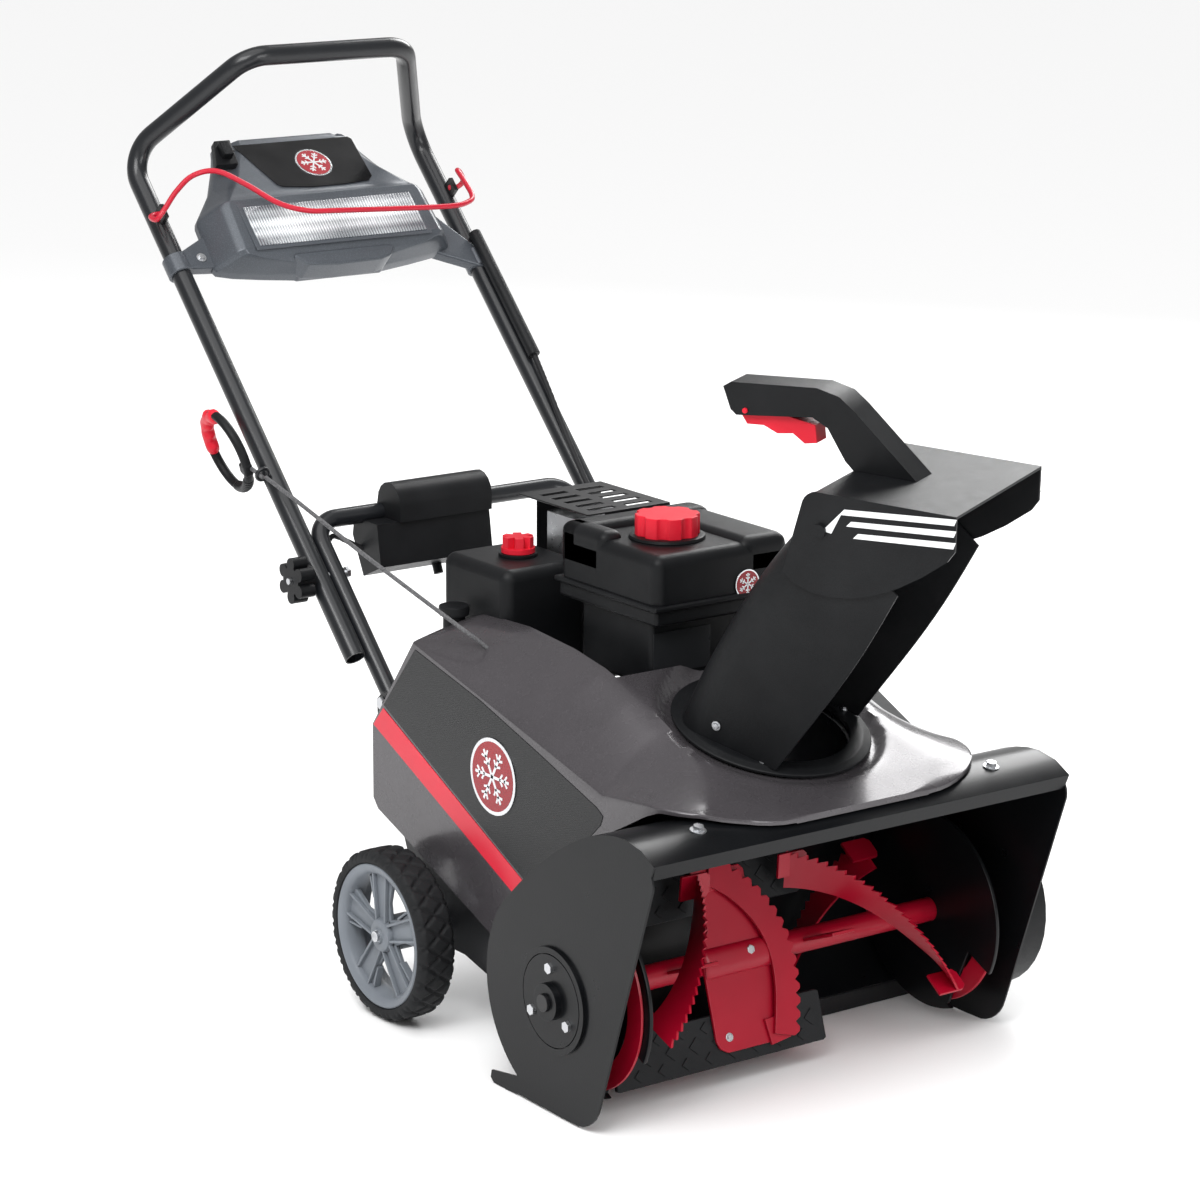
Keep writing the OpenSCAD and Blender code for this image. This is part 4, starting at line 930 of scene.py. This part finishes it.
def auger():
    """Toothed bands, their arms and rings, the kicker blade and the rubber paddles."""
    parts = []
    for turn in (0, 180):
        parts.append(band(-212, -106, 200 + turn, 95 + turn, 66, 114, 132, 22))
        parts.append(band(208, 22, 215 + turn, 94 + turn, 70, 114, 156, 26))
        for x in (-132, 60):
            spot = on_shaft(x, 158 + turn) @ Matrix.Translation((0, 0, -2))
            parts.append(plate("arm", [(-14, 13), (14, 13), (16, 72), (-16, 72)], spot, 4, 0.8))
        for x, a in ((26, 94), (-112, 95), (200, 215)):
            tab = [(-16, 84), (20, 84), (24, 90), (24, 108), (18, 113), (-16, 113)]
            parts.append(plate("tab", tab, on_shaft(x, a + turn), 4, 0.8))
    for side in (-1, 1):
        loop = [(248.1, 82), (248.1, 107), (249.4, 108), (251.8, 107.4), (251.8, 83), (250, 82)]
        rows = [[(side * q, AUGER.y + r * math.cos(t), AUGER.z + r * math.sin(t)) for q, r in loop]
                for t in turns(96)]
        ring = grid("end_ring", rows, closed=True)
        outward(ring)
        parts.append(ring)
    shaft = painted("shaft_paint", AUGER_RED, 0.34, peel=0.00003, shine=0.3)
    x, _, _ = shaft.axes()
    ends = x.size().above(0.27, 0.001)
    shaft.put("Base Color", shaft.mix(ends, AUGER_RED, (0.006, 0.006, 0.007)))
    soften("auger_shaft", 0.8 * MM, look=shaft)
    face = KICKER @ Matrix.Translation((0, 0, -26))
    sweep = []
    for k in range(49):
        t = k / 48
        mid = Vector((-34 + 96 * t - 30 * t * t, -100 + 196 * t ** 1.25))
        sweep.append(mid + Vector((34 * math.sin(math.pi * t), 0)))
    left_edge, right_edge = [], []
    for k, at in enumerate(sweep):
        way = (sweep[min(k + 1, 48)] - sweep[max(k - 1, 0)]).normalized()
        side = Vector((way.y, -way.x))
        tooth = 6 if k % 3 == 0 else 0
        left_edge.append(tuple(at - side * 15))
        right_edge.append(tuple(at + side * (19 - tooth)))
    parts.append(plate("front_band", left_edge + right_edge[::-1], face, 4, 0.6))
    for x, y in ((-40, -92), (26, 88)):
        bracket = [(x - 16, y - 14), (x + 14, y - 14), (x + 16, y + 12), (x - 12, y + 16)]
        parts.append(plate("bracket", bracket, KICKER @ Matrix.Translation((0, 0, -22)), 4, 0.8))
    piece = join("auger_bands", parts)
    smooth(piece, 30)
    finish_piece(piece, "auger_flights")
    outline = [(-44, -102), (14, -102), (20, -96), (20, -44), (24, -34), (52, -18), (58, -10), (58, 78),
               (52, 92), (40, 101), (-44, 101), (-54, 95), (-58, 86), (-58, -16), (-50, -28), (-44, -36)]
    sheet = plate("kicker_sheet", outline, KICKER @ Matrix.Translation((0, 0, -18.1)), 4, 1.2, 3)
    under = [math.pi + math.pi * k / 16 for k in range(17)]
    rows = [[(x, 17 * math.cos(t), -17.5 + high * math.sin(t)) for t in under]
            for x, high in ((-57, 3), (-52, 7), (52, 7), (57, 3))]
    ridge = grid("kicker_ridge", rows, KICKER)
    close_ends(ridge)
    smooth(ridge, 50)
    kicker = join("kicker_blade", [sheet, ridge])
    finish_piece(kicker, "kicker_plate")
    face = KICKER @ Matrix.Translation((0, 0, -18.1)) @ Matrix.Rotation(math.pi, 4, "X")
    screw("kicker_bolt", face @ Matrix.Translation((6, 6, 0)), 8, "auger", 7)
    for k, (x, y) in enumerate(((-30, 90), (6, 90), (-40, -84), (40, -84))):
        screw(f"kicker_rivet_{k}", face @ Matrix.Translation((x, y, 0)), 5, "auger", 3)
    strips = []
    for y in (-114, 56):
        sheet = [(-196, y + 2), (-192, y), (92, y), (96, y + 2), (96, y + 56), (92, y + 58), (-192, y + 58),
                 (-196, y + 56)]
        strips.append(plate("paddle", sheet, KICKER @ Matrix.Translation((0, 0, -13.9)), 6.6, 1.4, 3))
        for k in range(9):
            x = -180 + 32.5 * k
            for cx, cy, r in ((x, y + 29, 11), (x + 16, y + 12, 8), (x + 16, y + 46, 8)):
                if cx < 90:
                    lozenge = [(cx - r, cy), (cx, cy - r * 0.9), (cx + r, cy), (cx, cy + r * 0.9)]
                    strips.append(plate("lozenge", lozenge, KICKER @ Matrix.Translation((0, 0, -15.4)), 2,
                                        0.5, 2))
    finish_piece(join("paddle_sheets", strips), "rubber_paddles")


def starter_grip():
    """A ring grip: a slim black hoop with a red finger pad and a ribbed lower arc."""
    top = leg_point(*ROPE_END)
    place = (Matrix.Translation(top) @ Matrix.Rotation(math.radians(17), 4, "X")
             @ Matrix.Rotation(math.radians(-21), 4, "Y") @ Matrix.Translation((-9, 70, 0))
             @ Matrix.Rotation(math.radians(90), 4, "Y"))

    def hoop(name, from_a, to_a, radius, wide, thick, steps, wave=0, waves=0):
        rows = []
        for k in range(steps + 1):
            t = from_a + (to_a - from_a) * k / steps
            swell = 1 + wave * (0.5 - 0.5 * math.cos(2 * math.pi * waves * k / steps))
            end = 1 if to_a - from_a > 6.2 else math.sqrt(max(0.05, 1 - abs(2 * k / steps - 1) ** 14))
            row = []
            for j in range(14):
                u = 2 * math.pi * j / 14
                r = radius + wide * swell * end * math.cos(u)
                row.append((r * math.sin(t), r * math.cos(t), thick * end * math.sin(u)))
            rows.append(row)
        piece = grid(name, rows, place, closed=True)
        outward(piece)
        smooth(piece, 60)
        return piece

    ring = hoop("grip_hoop", 0, 2 * math.pi, 49.5, 4.6, 6, 96)
    hub = plate("grip_hub", [(-9, -54), (9, -54), (7, -38), (-7, -38)],
                place @ Matrix.Translation((0, 0, -6)), 12, 3, 3)
    ribs = hoop("grip_ribs", math.radians(95), math.radians(165), 48.5, 5.6, 7.4, 110, 0.16, 14)
    finish_piece(join("grip_ring_skin", [ring, hub, ribs]), "starter_grip", look=FINISHES["black_plastic"])
    pad = hoop("grip_pad", math.radians(-82), math.radians(34), 46.8, 7, 8.2, 120, 0.45, 5)
    finish_piece(pad, body="starter_grip", slot="red_plastic")


def cords():
    """The starter rope, the control cable and the grip's cord, laid along the handle; they ride no body and
    nothing makes them bend where the handle folds.
    """
    top = leg_point(*ROPE_END) + Vector((0, -8, -2.6))
    rope = eased([top, Vector((-231, 540, 563)), Vector((-222, 420, 526)), Vector((-210, 290, 487)),
                  Vector((-198, 246, 468)), Vector((-176, 226, 446)), Vector((-150, 222, 418))], 12)
    finish_piece(cord("starter_cord", rope, 2.5), "starter_rope",
                 across=("machine", "upper_handle", Vector((-220, 400, 520)), Vector((-231, 560, 568))))
    route = [(216, 257.8, 21), (212, 200, 20), (206, 120, 18), (202, 60, 19), (199, 8, 24), (190, -20, 26),
             (176, -70, 26), (160, -130, 20)]
    cable = eased([leg_point(*p) for p in route], 14)
    finish_piece(cord("control_cable", cable, 3.5, ribs=0.35), ("upper_cable", "lower_cable"),
                 across=("machine", "upper_handle", leg_point(190, -30, 24), leg_point(204, 90, 20)))
    start = leg_point(*ROPE_END)
    stop = start + Vector((0, 19, 5.8))
    line = [start + Vector((-4, -8, -2.4)), start + Vector((-5, 6, 2)), stop + Vector((-6, 0, 0))]
    finish_piece(cord("grip_cord", eased(line, 8), 2.5), slot="rope_fibre",
                 across=("upper_handle", "starter_grip", start, stop))


def block(name, low, high, bevel, segments=4):
    """A box between two corners with rounded edges."""
    low, high = Vector(low), Vector(high)
    bpy.ops.object.select_all(action="DESELECT")
    bpy.ops.mesh.primitive_cube_add(size=1, location=(low + high) / 2 * MM)
    piece = bpy.context.object
    piece.name = name
    piece.scale = (high - low) * MM
    settle(piece)
    modify(piece, "BEVEL", width=bevel * MM, segments=segments, limit_method="ANGLE")
    smooth(piece, 40)
    return piece


def engine_details():
    """The tank's shell, neck and badge, the starter's lead and a plain label."""
    x0, x1, y0, y1 = -83, 107, 26, 214
    shell = [block("tank_top", (x0, y0, 508), (x1, y1, 576), 14),
             block("tank_base", (x0, y0, 496), (x1, y1, 516), 5),
             block("tank_seam", (x0 - 4, y0 - 4, 513.5), (x1 + 4, y1 + 4, 520), 2.4),
             block("tank_foot", (-75, 46, 420), (99, 180, 500), 7),
             block("tank_wall", (x0, 128, 530), (-50, y1, 585), 12),
             block("tank_back", (x0, 172, 530), (x1, y1, 585), 12),
             block("tank_cheek", (38, y0, 530), (x1, y1, 582), 15)]
    finish_piece(join("tank_shell", shell), "fuel_tank", look=FINISHES["black_plastic"])
    collar = ((41, 572), (44, 577), (43, 580), (40, 580.6), (34, 580.4), (30, 572))
    rows = [[(-10 + r * math.cos(t), 104 + r * math.sin(t), z) for r, z in collar] for t in turns(64)]
    neck = grid("tank_neck", rows, closed=True)
    outward(neck)
    smooth(neck, 40)
    finish_piece(neck, body="machine", slot="black_plastic")
    badge("tank_badge", facing(Vector((44, 25.2, 530)), (0, -1, 0)), 17, "machine", 0.8)
    route = ((-96, 562, 470), (-132, 578, 492), (-166, 574, 506), (-186, 548, 478), (-183, 505, 436),
             (-184, 462, 392), (-186, 436, 362), (-176, 420, 340))
    lead = cord("starter_lead", eased([Vector(p) for p in route], 8), 3.2, ribs=0.3)
    finish_piece(lead, body="machine", slot="cord_rubber")
    label = plate("engine_label", [(-84, 436), (-4, 436), (-4, 484), (-84, 484)],
                  Matrix(((1, 0, 0, 12), (0, 0, -1, 45.5), (0, 1, 0, 0), (0, 0, 0, 1))), 0.6, 0.2)
    finish_piece(label, body="machine", slot="black_plastic",
                 look=painted("label_grey", (0.02, 0.021, 0.023), 0.3))


def side_badges():
    """A round badge on each side panel."""
    badge_at = Matrix(((0, 0, -1, -SIDE_X - 0.7), (1, 0, 0, 148), (0, 1, 0, 318), (0, 0, 0, 1)))
    for side, flip in (("right", Matrix()), ("left", MIRROR)):
        badge("side_badge_" + side, flip @ badge_at, 45, "machine")


def carry_over():
    """CAD pieces whose shape is already right keep it and get their finish."""
    for name, piece in frame["nodes"].items():
        FINISHES[NODE_SLOT[name]].give(piece)


camera()
studio()
carry_over()
for node, width in SOFTENED.items():
    soften(node, width * MM)
shroud()
side_panels()
hood_stripes()
chute_shell()
dash()
bail()
wheels()
auger()
starter_grip()
cords()
engine_details()
side_badges()
